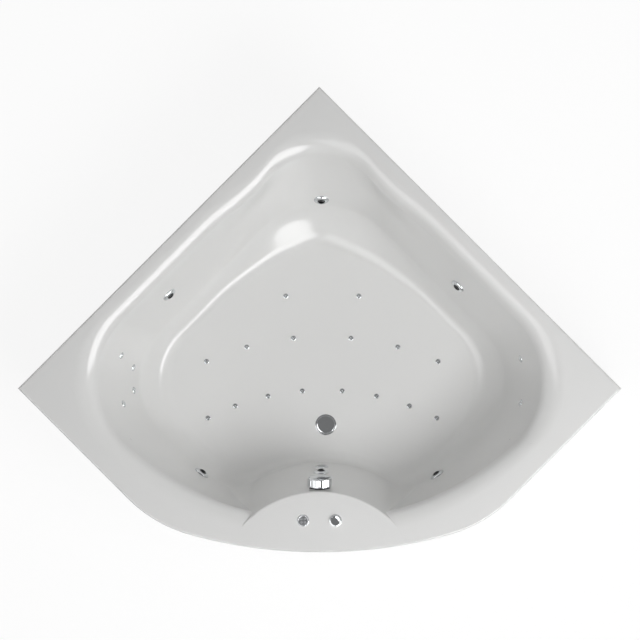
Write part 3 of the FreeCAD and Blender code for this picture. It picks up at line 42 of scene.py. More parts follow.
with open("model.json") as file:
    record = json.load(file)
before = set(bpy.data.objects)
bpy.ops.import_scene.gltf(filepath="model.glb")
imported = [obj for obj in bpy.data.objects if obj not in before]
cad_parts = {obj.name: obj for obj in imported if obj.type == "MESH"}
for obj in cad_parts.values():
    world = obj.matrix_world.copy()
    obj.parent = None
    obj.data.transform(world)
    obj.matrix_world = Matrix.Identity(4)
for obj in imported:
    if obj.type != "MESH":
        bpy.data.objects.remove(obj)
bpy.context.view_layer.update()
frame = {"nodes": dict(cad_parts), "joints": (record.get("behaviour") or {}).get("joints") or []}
MM = 0.001
R2 = math.sqrt(2)
JET_NAMES = ("apex", "left", "right", "front_left", "front_right", "island")
SHELL_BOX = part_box("tub_shell")
JOINTS = {joint["name"]: joint for joint in frame["joints"]}

# Places and fits shared by several pieces, in millimetres
WASTE_X, WASTE_Y = 12.0, -351.0  # middle of the waste
WASTE_BORE = 20.3  # radius of its hole in the floor
WALL_CLEAR = 6.0  # the panel's ends stop this far from the walls of the room
SEAT_SINK = 0.4  # the caps of the small jets sit this deep in the wall


# ---------------------------------------------------------------- settings
def size(name, description, default):
    """A length in metres that the user can change."""
    return bpy.props.FloatProperty(name=name, description=description, default=default, min=0.0,
                                   unit="LENGTH", precision=4)


def colour(name, description, code):
    """A finish's colour, given as sRGB hex, that the user can change."""
    return bpy.props.FloatVectorProperty(name=name, description=description, default=linear(code), size=3,
                                         min=0.0, max=1.0, subtype="COLOR")


def linear(code):
    """An sRGB hex colour as linear values."""
    parts = [int(code[k:k + 2], 16) / 255 for k in (1, 3, 5)]
    return tuple(c / 12.92 if c <= 0.04045 else ((c + 0.055) / 1.055) ** 2.4 for c in parts)


class BathShape(bpy.types.PropertyGroup):
    """Sizes of the shell."""
    rim_height: size("Rim height", "Top of the rim above the room floor", SHELL_BOX[1].z)
    basin_depth: size("Basin depth", "Rim down to the basin floor", 0.440)
    shell: size("Shell thickness", "Acrylic with its glass-fibre backing", 0.005)
    wall_side: size("Wall side", "Length of each side that stands against a wall", 1.400)
    front_radius: size("Front radius", "Radius of the long front curve", 1.600)
    end_radius: size("End radius", "Radius that joins the front to each return", 0.460)
    lip: size("Lip", "Height of the turned-down edge", 0.040)
    rim_edge: size("Rim edge", "Rounding of the rim's upper edge", 0.008)
    deck: size("Deck", "Flat rim along the walls", 0.024)
    return_extra: size("Return extra", "How much wider the rim is along the returns", 0.035)
    roll_run: size("Mouth run", "How far in the rounded mouth reaches", 0.066)
    roll_depth: size("Mouth depth", "How deep the rounded mouth reaches", 0.075)
    wall_foot: size("Wall foot", "Large rounding that starts the turn from wall to floor", 0.220)
    floor_fillet: size("Floor fillet", "Rounding between wall and floor", 0.045)
    island_radius: size("Control deck radius", "Radius of the control deck's cone at the rim", 0.345)
    island_fillet: size("Control deck fillet", "Rounding between the control deck and the floor", 0.048)
    panel_inset: size("Panel inset", "Front panel behind the rim's edge", 0.020)
    panel: size("Panel thickness", "Acrylic sheet of the front panel", 0.004)
    panel_flange: size("Panel flange", "Turned-in edge at the bottom of the panel", 0.022)


class BathLook(bpy.types.PropertyGroup):
    """Colours of the finishes."""
    acrylic: colour("Acrylic", "Cast acrylic sheet of the shell", "#E6E6E5")
    backing: colour("Backing", "Glass fibre under the acrylic", "#C9BF9F")
    chrome: colour("Chrome", "Plated brass and plastic", "#D6D8DA")
    black: colour("Black", "Moulded nozzles, nuts and pads", "#1A1B1D")
    white: colour("White plastic", "Housings behind the shell", "#DADAD6")
    pipe: colour("Pipe", "Pressure pipe", "#AEB3B6")
    zinc: colour("Zinc", "Plated steel frame", "#B3B7BC")
    motor: colour("Motor", "Painted motor housing", "#2F3A48")


# ---------------------------------------------------------------- materials
def add_node(tree, kind, settings=None, links=None):
    """Adds a node, sets its values and sockets, and links other sockets into its inputs."""
    node = tree.nodes.new(kind)
    for key, value in (settings or {}).items():
        if isinstance(key, str) and hasattr(node, key):
            setattr(node, key, value)
        else:
            node.inputs[key].default_value = value
    for key, socket in (links or {}).items():
        tree.links.new(socket, node.inputs[key])
    return node


def finish_material(name, base, roughness, **sockets):
    """A principled material; returns it with its tree and shader, so that a pattern can be linked in."""
    material = bpy.data.materials.new(name)
    material.use_nodes = True
    shader = material.node_tree.nodes["Principled BSDF"]
    shader.inputs["Base Color"].default_value = (*base, 1)
    shader.inputs["Roughness"].default_value = roughness
    for key, value in sockets.items():
        shader.inputs[key.replace("_", " ")].default_value = value
    return material, material.node_tree, shader


def place_mm(tree):
    """Object coordinates in millimetres."""
    coordinates = add_node(tree, "ShaderNodeTexCoord")
    return add_node(tree, "ShaderNodeMapping", {"Scale": (1000, 1000, 1000)},
                    {"Vector": coordinates.outputs["Object"]}).outputs["Vector"]


def bump(tree, shader, height, depth_mm, strength=1.0):
    """Links a height pattern into the shader's normal."""
    node = add_node(tree, "ShaderNodeBump", {"Distance": depth_mm * MM, "Strength": strength},
                    {"Height": height})
    tree.links.new(node.outputs["Normal"], shader.inputs["Normal"])


def acrylic_sheet(look):
    """Cast acrylic, vacuum-formed: a deep even gloss with soft reflections."""
    return finish_material("Cast sanitary acrylic", look.acrylic, 0.13, IOR=1.49)[0]


def glass_fibre(look):
    """Sprayed glass fibre and polyester: dull, cream, with chopped strands about 25 mm long."""
    material, tree, shader = finish_material("Glass-fibre backing", look.backing, 0.55)
    strands = add_node(tree, "ShaderNodeTexNoise", {"Scale": 0.16, "Detail": 4.0, "Distortion": 2.5},
                       {"Vector": place_mm(tree)})
    ramp = add_node(tree, "ShaderNodeValToRGB", links={"Fac": strands.outputs["Fac"]})
    ramp.color_ramp.elements[0].color = (*[c * 0.80 for c in look.backing], 1)
    ramp.color_ramp.elements[1].color = (*[min(1.0, c * 1.12) for c in look.backing], 1)
    tree.links.new(ramp.outputs["Color"], shader.inputs["Base Color"])
    bump(tree, shader, strands.outputs["Fac"], 1.2)
    return material


def chrome_plate(look):
    """Decorative chrome: mirror-bright, faintly cool."""
    return finish_material("Polished chrome plate", look.chrome, 0.07, Metallic=1.0)[0]


def satin_chrome(look):
    """Chromed plastic caps, a little softer than plated brass."""
    return finish_material("Chromed plastic", look.chrome, 0.16, Metallic=1.0)[0]


def black_moulding(look):
    """Glass-filled plastic from a textured mould: near black with a low sheen."""
    material, tree, shader = finish_material("Black moulded plastic", look.black, 0.36)
    grain = add_node(tree, "ShaderNodeTexNoise", {"Scale": 1.6, "Detail": 2.0}, {"Vector": place_mm(tree)})
    bump(tree, shader, grain.outputs["Fac"], 0.05, 0.4)
    return material


def gloss_black(look):
    """Black acetal of the swivelling nozzles, moulded smooth."""
    return finish_material("Black acetal", look.black, 0.22)[0]


def white_moulding(look):
    """White ABS of the housings behind the shell."""
    return finish_material("White ABS moulding", look.white, 0.34)[0]


def key_plastic(look):
    """Grey moulded keys with a fine matt grain."""
    return finish_material("Grey key plastic", linear("#9A9C9F"), 0.42)[0]


def pressure_pipe(look):
    """Extruded PVC pipe: light grey, satin, with faint lengthways streaks."""
    material, tree, shader = finish_material("Extruded PVC pipe", look.pipe, 0.38)
    streaks = add_node(tree, "ShaderNodeTexNoise", {"Scale": 0.05, "Detail": 3.0}, {"Vector": place_mm(tree)})
    spread = add_node(tree, "ShaderNodeMapRange", {"To Min": 0.32, "To Max": 0.46},
                      {"Value": streaks.outputs["Fac"]})
    tree.links.new(spread.outputs["Result"], shader.inputs["Roughness"])
    return material


def clear_hose(look):
    """Plasticised PVC hose: grey and slightly glossy."""
    return finish_material("Grey PVC hose", linear("#8E9396"), 0.28)[0]


def black_rubber(look):
    """Moulded rubber, almost without gloss."""
    return finish_material("Black rubber", linear("#141414"), 0.62)[0]


def zinc_plate(look):
    """Bright zinc on drawn steel: soft metal with a cloudy passivation."""
    material, tree, shader = finish_material("Zinc-plated steel", look.zinc, 0.34, Metallic=1.0)
    clouds = add_node(tree, "ShaderNodeTexNoise", {"Scale": 0.03, "Detail": 5.0}, {"Vector": place_mm(tree)})
    spread = add_node(tree, "ShaderNodeMapRange", {"To Min": 0.26, "To Max": 0.46},
                      {"Value": clouds.outputs["Fac"]})
    tree.links.new(spread.outputs["Result"], shader.inputs["Roughness"])
    return material


def pump_moulding(look):
    """Glass-filled polypropylene of the pump, almost black and dull."""
    return finish_material("Pump polypropylene", linear("#23262B"), 0.45)[0]


def motor_paint(look):
    """Baked enamel on die-cast aluminium."""
    material, tree, shader = finish_material("Motor enamel", look.motor, 0.33)
    peel = add_node(tree, "ShaderNodeTexNoise", {"Scale": 0.5, "Detail": 1.0}, {"Vector": place_mm(tree)})
    bump(tree, shader, peel.outputs["Fac"], 0.08, 0.5)
    return material


def chipboard(look):
    """Pressed wood chips, 3 to 8 mm across, with resin between them."""
    material, tree, shader = finish_material("Chipboard", linear("#A8895C"), 0.72)
    chips = add_node(tree, "ShaderNodeTexVoronoi", {"Scale": 0.2}, {"Vector": place_mm(tree)})
    ramp = add_node(tree, "ShaderNodeValToRGB", links={"Fac": chips.outputs["Color"]})
    ramp.color_ramp.elements[0].color = (*linear("#8A6C43"), 1)
    ramp.color_ramp.elements[1].color = (*linear("#C8A877"), 1)
    tree.links.new(ramp.outputs["Color"], shader.inputs["Base Color"])
    bump(tree, shader, chips.outputs["Distance"], 0.3, 0.6)
    return material


MAKERS = {"acrylic": acrylic_sheet, "backing": glass_fibre, "chrome": chrome_plate,
          "silver_plastic": satin_chrome, "black_plastic": black_moulding, "acetal": gloss_black,
          "white_plastic": white_moulding, "key_plastic": key_plastic, "pipe_plastic": pressure_pipe,
          "hose": clear_hose, "rubber": black_rubber, "zinc_steel": zinc_plate, "pump_plastic": pump_moulding,
          "motor_paint": motor_paint, "board": chipboard}
MADE = {}


def material(key):
    """The material for a finish, made once."""
    if key not in MADE:
        MADE[key] = MAKERS[key](bpy.context.scene.bath_look)
    return MADE[key]


# ---------------------------------------------------------------- the shell's curves, in millimetres
def arc_points(centre, radius, start, end, count):
    """An arc from one bearing to another, in degrees, as a row of points."""
    turns = np.radians(np.linspace(start, end, count + 1))
    return centre + radius * np.column_stack((np.cos(turns), np.sin(turns)))


def line_points(start, end, count):
    """A straight line as a row of points."""
    return start + (end - start) * np.linspace(0, 1, count + 1)[:, None]


class Curves:
    """The outline of the bath and the level curves of its basin."""
    # slopes of the basin wall and of the control deck's wall, in degrees from upright
    WALL_DRAFT = 18.0
    ISLAND_DRAFT = 12.5
    # rounding of the control deck's edge, and how far the deck reaches in from the front
    ISLAND_EDGE = 6.0
    ISLAND_REACH = 198.9
    # radii of the level curve at the rim and at the floor, from the room's corner round to the control deck
    APEX_R = (255.0, 305.0)
    CORNER_R = (290.0, 215.0)
    FRONT_R = (985.0, 560.0)
    NOTCH_R = (6.0, 110.0)
    # slope in degrees at which the wall's large rounding hands over to the small one at the floor
    FOOT_TURN = 50.0
    # the foot's rounder outline: how far in, its share at the middle, where it is full and where it ends
    SHOULDER_IN = 42.0
    SHOULDER_TIP = 0.7
    SHOULDER_X = 120.0
    SHOULDER_END = 360.0
    END_ROUNDER = 25.0
    # the wider deck beside the corner of the room: how far in, between which x and down to what depth
    MOUTH_IN = 17.0
    MOUTH_X = (70.0, 370.0)
    MOUTH_DEPTH = 190.0
    # segments of a level curve's arcs and of the straights after its first two arcs, and of the rim's parts
    ARC_STEPS = (20, 44, 34, 16, 26)
    STRAIGHT_STEPS = (16, 8)
    RETURN_STEPS, END_STEPS, FRONT_STEPS, WALL_STEPS = 16, 40, 60, 30

    def __init__(self, shape):
        self.height, self.depth, self.shell = shape.rim_height / MM, shape.basin_depth / MM, shape.shell / MM
        self.side = shape.wall_side / MM
        self.front_r, self.end_r = shape.front_radius / MM, shape.end_radius / MM
        self.lip, self.rim_edge = shape.lip / MM, shape.rim_edge / MM
        self.deck, self.return_extra = shape.deck / MM, shape.return_extra / MM
        self.roll_run, self.roll_depth = shape.roll_run / MM, shape.roll_depth / MM
        self.fillet, self.foot = shape.floor_fillet / MM, shape.wall_foot / MM
        self.island_r, self.island_fillet = shape.island_radius / MM, shape.island_fillet / MM
        self.apex_y, self.front_y = SHELL_BOX[1].y / MM, SHELL_BOX[0].y / MM
        self.corner_y = self.apex_y - self.side / R2
        self.return_k = self.side / R2 - self.corner_y
        self.island_y = self.front_y + self.ISLAND_REACH - self.island_r
        self.slope = math.radians(90 - self.WALL_DRAFT)
        self.wall_tan = math.tan(math.radians(self.WALL_DRAFT))
        self.roll_angle = math.atan(self.roll_run / self.roll_depth * math.tan(self.slope))
        self.roll_end = self.roll_depth * (1 - math.cos(self.roll_angle))
        self.roll_inset = self.deck + self.roll_run * math.sin(self.roll_angle)
        self.turn = math.radians(self.FOOT_TURN)
        self.fillet_top = self.depth - self.fillet * (1 - math.cos(self.turn))
        self.foot_top = self.fillet_top - self.foot * (math.cos(self.turn) - math.cos(self.slope))
        self.foot_inset = (self.roll_inset + (self.foot_top - self.roll_end) * self.wall_tan
                           + self.foot * math.sin(self.slope))
        self.floor_inset = self.foot_inset - (self.foot - self.fillet) * math.sin(self.turn)
        self.island_slope = math.radians(90 - self.ISLAND_DRAFT)

    def side_profile(self, depth):
        """How far in the wall stands at a depth, and its slope there."""
        if depth < self.roll_end:
            t = math.acos(1 - depth / self.roll_depth)
            slope = math.atan(self.roll_depth / self.roll_run * math.tan(t))
            return self.deck + self.roll_run * math.sin(t), slope
        if depth <= self.foot_top:
            return self.roll_inset + (depth - self.roll_end) * self.wall_tan, self.slope
        if depth <= self.fillet_top:
            a = math.acos(math.cos(self.slope) + (depth - self.foot_top) / self.foot)
            return self.foot_inset - self.foot * math.sin(a), a
        a = math.acos(max(0.0, min(1.0, 1 - (self.depth - depth) / self.fillet)))
        return self.floor_inset - self.fillet * math.sin(a), a

    def island_radius(self, depth):
        """Radius of the control deck's cone at a depth, with its rounded edge and its foot."""
        edge, slope = self.ISLAND_EDGE, self.island_slope
        tan = math.tan(math.radians(self.ISLAND_DRAFT))
        if depth < edge * (1 - math.cos(slope)):
            return self.island_r - edge * (math.tan(slope / 2) - math.sin(math.acos(1 - depth / edge)))
        if depth <= self.depth - self.island_fillet * (1 - math.cos(slope)):
            return self.island_r + depth * tan
        a = math.acos(max(0.0, min(1.0, 1 - (self.depth - depth) / self.island_fillet)))
        foot = self.island_r + self.depth * tan + self.island_fillet * math.tan(slope / 2)
        return foot - self.island_fillet * math.sin(a)

    def level(self, depth, grow=0.0):
        """Centres and radii of the level curve at a depth."""
        share = depth / self.depth

        def mix(pair, power=1.0):
            return pair[0] + (pair[1] - pair[0]) * share ** power + grow

        inset = self.side_profile(depth)[0] - grow
        top = self.apex_y - inset * R2
        k = self.return_k - (inset + self.return_extra) * R2
        apex_r, front_r = mix(self.APEX_R), mix(self.FRONT_R)
        corner_r = mix(self.CORNER_R) + self.END_ROUNDER * self.foot_share(depth)
        return {"top": top, "k": k, "apex_r": apex_r, "corner_r": corner_r, "front_r": front_r,
                "notch_r": mix(self.NOTCH_R, 1.5), "island_r": self.island_radius(depth) - grow,
                "apex_y": top - apex_r * R2, "corner": ((top + k) / 2 - corner_r * R2, (top - k) / 2),
                "front_y": front_r * R2 - k}

    def level_loop(self, depth, grow=0.0, drop=0.0):
        """Points of the level curve, clockwise from the corner of the room, as many at every depth.

        grow moves the curve outwards and drop lowers it, for the back of the shell."""
        v = self.level(depth, grow)
        front_c, island_c = np.array((0, v["front_y"])), np.array((0, self.island_y))
        a, b = v["front_r"] - v["notch_r"], v["island_r"] + v["notch_r"]
        notch_y = (b * b - a * a + front_c[1] ** 2 - island_c[1] ** 2) / (2 * (front_c[1] - island_c[1]))
        notch_c = np.array((math.sqrt(a * a - (notch_y - front_c[1]) ** 2), notch_y))
        corner_c = np.array(v["corner"])

        def bearing(centre, point):
            return math.degrees(math.atan2(point[1] - centre[1], point[0] - centre[0]))

        to_notch = bearing(front_c, notch_c)
        from_island = bearing(island_c, notch_c)
        arcs = [arc_points(np.array((0, v["apex_y"])), v["apex_r"], 90, 45, self.ARC_STEPS[0]),
                arc_points(corner_c, v["corner_r"], 45, -45, self.ARC_STEPS[1]),
                arc_points(front_c, v["front_r"], -45, to_notch, self.ARC_STEPS[2]),
                arc_points(notch_c, v["notch_r"], to_notch, from_island - 180, self.ARC_STEPS[3])[1:],
                arc_points(island_c, v["island_r"], from_island, 90, self.ARC_STEPS[4])[1:]]
        for index, count in enumerate(self.STRAIGHT_STEPS):
            straight = line_points(arcs[2 * index][-1], arcs[2 * index + 1][0], count)
            arcs.insert(2 * index + 1, straight[1:-1])
        half = np.vstack(arcs)
        half -= self.shoulder(v, half, depth)
        loop = np.vstack((half, (half * (-1, 1))[-2:0:-1]))
        return np.column_stack((loop, np.full(len(loop), self.height - depth - drop)))

    def foot_share(self, depth):
        """0 down to the foot of the wall, then smoothly up to 1 at the floor."""
        rise = min(1.0, max(0.0, (depth - self.foot_top) / (self.depth - self.foot_top)))
        return rise * rise * (3 - 2 * rise)

    def shoulder(self, v, points, depth):
        """How far the wall is drawn in beside the corner of the room.

        Its foot is drawn in to round the floor, and its mouth to widen the deck."""
        x, y = points.T
        near = self.SHOULDER_TIP + (1 - self.SHOULDER_TIP) * (1 - np.cos(np.pi * x / self.SHOULDER_X)) / 2
        past = np.clip((x - self.SHOULDER_X) / (self.SHOULDER_END - self.SHOULDER_X), 0, 1)
        far = (1 + np.cos(np.pi * past)) / 2
        foot = self.SHOULDER_IN * self.foot_share(depth) * np.where(x < self.SHOULDER_X, near, far)
        low, high = self.MOUTH_X
        fade = 0.5 + 0.5 * math.cos(math.pi * min(1.0, depth / self.MOUTH_DEPTH))
        mouth = self.MOUTH_IN * fade * np.sin(np.pi * np.clip((x - low) / (high - low), 0, 1)) ** 2
        inward = np.where(y < v["corner"][1], 0, foot + mouth)
        in_arc = (x < v["apex_r"] / R2)[:, None]
        outward = np.where(in_arc, (points - (0, v["apex_y"])) / v["apex_r"], 1 / R2)
        return inward[:, None] * outward

    def rim_loop(self, inset, z, front_inset=None, walls=True):
        """The outline moved in, clockwise from the corner of the room.

        Without the walls it has only the free sides, the ones that don't stand against a wall of the room."""
        free = inset if front_inset is None else front_inset
        apex = np.array((0, self.apex_y - inset * R2))
        corner = np.array((self.side / R2 - (inset + free) / R2, self.corner_y + (free - inset) / R2))
        front_r, end_r = self.front_r - free, self.end_r - free
        front_c = np.array((0, self.front_y + self.front_r))
        bx, by = corner[0] - end_r / R2, corner[1] + end_r / R2 - front_c[1]
        gap = front_r - end_r
        run = (bx + by + math.sqrt((bx + by) ** 2 - 2 * (bx * bx + by * by - gap * gap))) / 2
        end_c = np.array((bx - run, by - run + front_c[1]))
        last = math.degrees(math.atan2(end_c[1] - front_c[1], end_c[0] - front_c[0]))

        ends = arc_points(end_c, end_r, -45, last, self.END_STEPS)
        parts = [line_points(corner, ends[0], self.RETURN_STEPS)[:-1], ends,
                 arc_points(front_c, front_r, last, -90, self.FRONT_STEPS)[1:]]
        if walls:
            parts.insert(0, line_points(apex, corner, self.WALL_STEPS)[:-1])
        half = np.vstack(parts)
        mirrored = (half * (-1, 1))[::-1][1:]
        loop = np.vstack((half, mirrored[:-1] if walls else mirrored))
        return np.column_stack((loop, np.full(len(loop), z)))

    def wall_depth(self, x, y):
        """Depth of the basin wall under a point of the plan."""
        low, high = 0.0, self.depth
        x = abs(x)
        while high - low > 1e-4:
            depth = (low + high) / 2
            v = self.level(depth)
            cx, cy = v["corner"]
            if y - v["apex_y"] > x:
                gap = v["apex_r"] - math.hypot(x, y - v["apex_y"])
            elif x - cx > abs(y - cy):
                gap = v["corner_r"] - math.hypot(x - cx, y - cy)
            elif v["front_y"] - y > x:
                gap = v["front_r"] - math.hypot(x, y - v["front_y"])
            else:
                gap = min(v["top"] - x - y, v["k"] - x + y)
            low, high = (depth, high) if gap > 0 else (low, depth)
        return low

    def wall_seat(self, x, y):
        """A point on the basin wall and the direction into the basin."""
        dx = self.wall_depth(x + 0.5, y) - self.wall_depth(x - 0.5, y)
        dy = self.wall_depth(x, y + 0.5) - self.wall_depth(x, y - 0.5)
        return Vector((x, y, self.height - self.wall_depth(x, y))), Vector((dx, dy, 1)).normalized()


# ---------------------------------------------------------------- mesh helpers
CORNER_STEPS = 4
CORNER_SHARE = 0.45


def finished(name, bm_or_mesh, finishes, body, replaced=(), sharp=32.0):
    """Turns a mesh in metres into a finished piece on its body, with edges past sharp degrees kept crisp."""
    if isinstance(bm_or_mesh, bmesh.types.BMesh):
        mesh = bpy.data.meshes.new(name)
        bm_or_mesh.to_mesh(mesh)
        bm_or_mesh.free()
    else:
        mesh = bm_or_mesh
    name = name.replace(" ", "_")
    mesh.name = name
    mesh.materials.clear()
    for key in finishes:
        mesh.materials.append(material(key))
    mesh.polygons.foreach_set("use_smooth", [True] * len(mesh.polygons))
    mesh.set_sharp_from_angle(angle=math.radians(sharp))
    obj = bpy.data.objects.new(name, mesh)
    bpy.context.scene.collection.objects.link(obj)
    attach(obj, body)
    if replaced:
        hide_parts(*replaced)
    return obj


def softened(profile):
    """Rounds the corners of a profile of (radius, height, rounding) points.

    A corner takes at most CORNER_SHARE of the side before it and of the side after it."""
    smooth = []
    for index, point in enumerate(profile):
        here = np.array(point[:2], float)
        rounding = point[2] if len(point) > 2 else 0
        if not rounding:
            smooth.append(here)
            continue
        before = np.array(profile[index - 1][:2], float) - here
        after = np.array(profile[(index + 1) % len(profile)][:2], float) - here
        back, on = np.linalg.norm(before), np.linalg.norm(after)
        reach = min(rounding, CORNER_SHARE * back, CORNER_SHARE * on)
        start, end = here + before / back * reach, here + after / on * reach
        for t in np.linspace(0, 1, CORNER_STEPS + 1):
            smooth.append((1 - t) ** 2 * start + 2 * t * (1 - t) * here + t * t * end)
    return smooth


def lathe(bm, profile, base=(0, 0, 0), axis=(0, 0, 1), steps=96, wave=None):
    """Adds a closed turned solid made from (radius, height, rounding) points in millimetres.

    wave, a function of angle, radius and height, changes the radius."""
    points = softened(profile)
    turn = Vector((0, 0, 1)).rotation_difference(Vector(axis)).to_matrix().to_4x4()
    place = Matrix.Translation(Vector(base)) @ turn
    rings = []
    for radius, height in points:
        if radius < 1e-6:
            rings.append([bm.verts.new(place @ Vector((0, 0, height)) * MM)])
            continue
        ring = []
        for k in range(steps):
            angle = 2 * math.pi * k / steps
            r = radius + (wave(angle, radius, height) if wave else 0)
            ring.append(bm.verts.new(place @ Vector((r * math.cos(angle), r * math.sin(angle), height)) * MM))
        rings.append(ring)
    for index, ring in enumerate(rings):
        after = rings[(index + 1) % len(rings)]
        if len(ring) == 1 and len(after) == 1:
            continue
        for k in range(steps):
            n = (k + 1) % steps
            corners = [ring[k % len(ring)], ring[n % len(ring)], after[n % len(after)], after[k % len(after)]]
            bm.faces.new(list(dict.fromkeys(corners)))


def lathed(name, profile, base, axis, finish, body, replaced=(), steps=96, sharp=32.0):
    """A finished piece that is one turned solid."""
    bm = bmesh.new()
    lathe(bm, profile, base, axis, steps)
    bmesh.ops.recalc_face_normals(bm, faces=bm.faces)
    return finished(name, bm, [finish], body, replaced, sharp)


def bridge(bm, first, second):
    """Quads between two closed loops of vertices."""
    count = len(first)
    return [bm.faces.new((first[k], first[(k + 1) % count], second[(k + 1) % count], second[k]))
            for k in range(count)]


def loop_edges(bm, loop):
    """The edges round a closed loop of vertices, added where they are missing."""
    return [bm.edges.get((a, b)) or bm.edges.new((a, b)) for a, b in zip(loop, loop[1:] + loop[:1])]


def fill(bm, *loops):
    """A flat fill between loops: the first is the outer one."""
    edges = [edge for loop in loops for edge in loop_edges(bm, loop)]
    made = bmesh.ops.triangle_fill(bm, use_beauty=True, use_dissolve=False, edges=edges)
    return [item for item in made["geom"] if isinstance(item, bmesh.types.BMFace)]


def add_loop(bm, points):
    """A row of vertices at points in millimetres."""
    return [bm.verts.new(Vector(p) * MM) for p in points]


def merged_copy(node, finish, body="bath", sharp=30.0):
    """A copy of a plain frame piece with its loose triangles joined and its curves smooth."""
    bm = bmesh.new()
    bm.from_mesh(frame["nodes"][node].data)
    bmesh.ops.remove_doubles(bm, verts=bm.verts, dist=2e-6)
    return finished(node.replace("_", " "), bm, [finish], body, (node,), sharp)


def seat_of(joint, back_mm):
    """Base point in millimetres and axis of a fitting, from the joint that it turns on."""
    axis = Vector(JOINTS[joint]["axis"])
    return Vector(JOINTS[joint]["pos_m"]) / MM - axis * back_mm, axis


# ---------------------------------------------------------------- pieces
UP = (0, 0, 1)


class BathPiece:
    """What the operators share."""
    bl_options = {"REGISTER", "UNDO"}

    @staticmethod
    def floor_height(context):
        """Height of the basin floor in millimetres."""
        shape = context.scene.bath_shape
        return (shape.rim_height - shape.basin_depth) / MM


class BATH_OT_shell(BathPiece, bpy.types.Operator):
    """Rim, deck and basin in one smooth skin, with the rounded mouth and the bulging control deck"""
    bl_idname = "bath.shell"
    bl_label = "Shell"

    # level curves on the mouth, the control deck's edge, the straight wall and the two roundings of its foot
    ROLL_LEVELS, EDGE_LEVELS, WALL_LEVELS, FOOT_LEVELS, FILLET_LEVELS = 18, 7, 14, 12, 18
    RIM_LEVELS = 8
    DRAIN_POINTS = 64
    LIP_BREAK = 0.8
    # below this depth the back of the shell follows every second level curve of the front
    BACK_FROM = 2.0

    def execute(self, context):
        curves = Curves(context.scene.bath_shape)
        bm = bmesh.new()
        depths = self.depths(curves)
        inside = [add_loop(bm, curves.level_loop(depth)) for depth in depths]
        drain = self.drain(curves.height - curves.depth)
        drain_top = add_loop(bm, drain)
        rim = [add_loop(bm, loop) for loop in self.rim(curves)]
        acrylic = self.skin(bm, inside) + fill(bm, inside[-1], drain_top)
        acrylic += fill(bm, rim[0], inside[0]) + self.skin(bm, rim)
        t = curves.shell
        under = [add_loop(bm, curves.rim_loop(t, z)) for z in (curves.height - curves.lip, curves.height - t)]
        acrylic += bridge(bm, rim[-1], under[0])
        back = [add_loop(bm, curves.level_loop(0.0, 0.0, t))]
        for depth in [d for d in depths if d > self.BACK_FROM][::2] + [curves.depth]:
            slope = curves.side_profile(depth)[1]
            back.append(add_loop(bm, curves.level_loop(depth, t * math.sin(slope), t * math.cos(slope))))
        drain_low = add_loop(bm, [(x, y, z - t) for x, y, z in drain])
        backing = bridge(bm, *under) + fill(bm, under[1], back[0]) + self.skin(bm, back)
        backing += fill(bm, back[-1], drain_low) + bridge(bm, drain_top, drain_low)
        for face in backing:
            face.material_index = 1
        bmesh.ops.recalc_face_normals(bm, faces=bm.faces)
        finished("Acrylic shell", bm, ["acrylic", "backing"], "bath", ("tub_shell",), 40.0)
        return {"FINISHED"}

    def depths(self, curves):
        """Depths of the level curves, from the rim to the floor."""
        roll = [curves.roll_depth * (1 - math.cos(curves.roll_angle * k / self.ROLL_LEVELS))
                for k in range(self.ROLL_LEVELS + 1)]
        edge = [curves.ISLAND_EDGE * (1 - math.cos(curves.island_slope * k / self.EDGE_LEVELS))
                for k in range(1, self.EDGE_LEVELS + 1)]
        wall = np.linspace(curves.roll_end, curves.foot_top, self.WALL_LEVELS)
        foot = [curves.fillet_top - curves.foot * (math.cos(curves.turn) - math.cos(turn))
                for turn in np.linspace(curves.slope, curves.turn, self.FOOT_LEVELS)]
        fillet = [curves.depth - curves.fillet * (1 - math.cos(curves.turn * k / self.FILLET_LEVELS))
                  for k in range(self.FILLET_LEVELS + 1)]
        return sorted({round(depth, 3) for depth in (*roll, *edge, *wall, *foot, *fillet)})

    def rim(self, curves):
        """Loops of the rim, from the deck over its rounded edge to the bottom of the lip."""
        top, low = curves.height, curves.height - curves.lip
        loops = []
        for k in range(self.RIM_LEVELS + 1):
            turn = math.radians(90 * k / self.RIM_LEVELS)
            loops.append(curves.rim_loop(curves.rim_edge * (1 - math.sin(turn)),
                                         top - curves.rim_edge * (1 - math.cos(turn))))
        return loops + [curves.rim_loop(0, low + self.LIP_BREAK), curves.rim_loop(self.LIP_BREAK, low)]

    def drain(self, z):
        """The hole for the waste at a height."""
        points = arc_points(np.array((WASTE_X, WASTE_Y)), WASTE_BORE, 0, 360, self.DRAIN_POINTS)
        return [(x, y, z) for x, y in points[:-1]]

    @staticmethod
    def skin(bm, loops):
        """Faces from each loop to the next."""
        return [face for first, second in zip(loops, loops[1:]) for face in bridge(bm, first, second)]


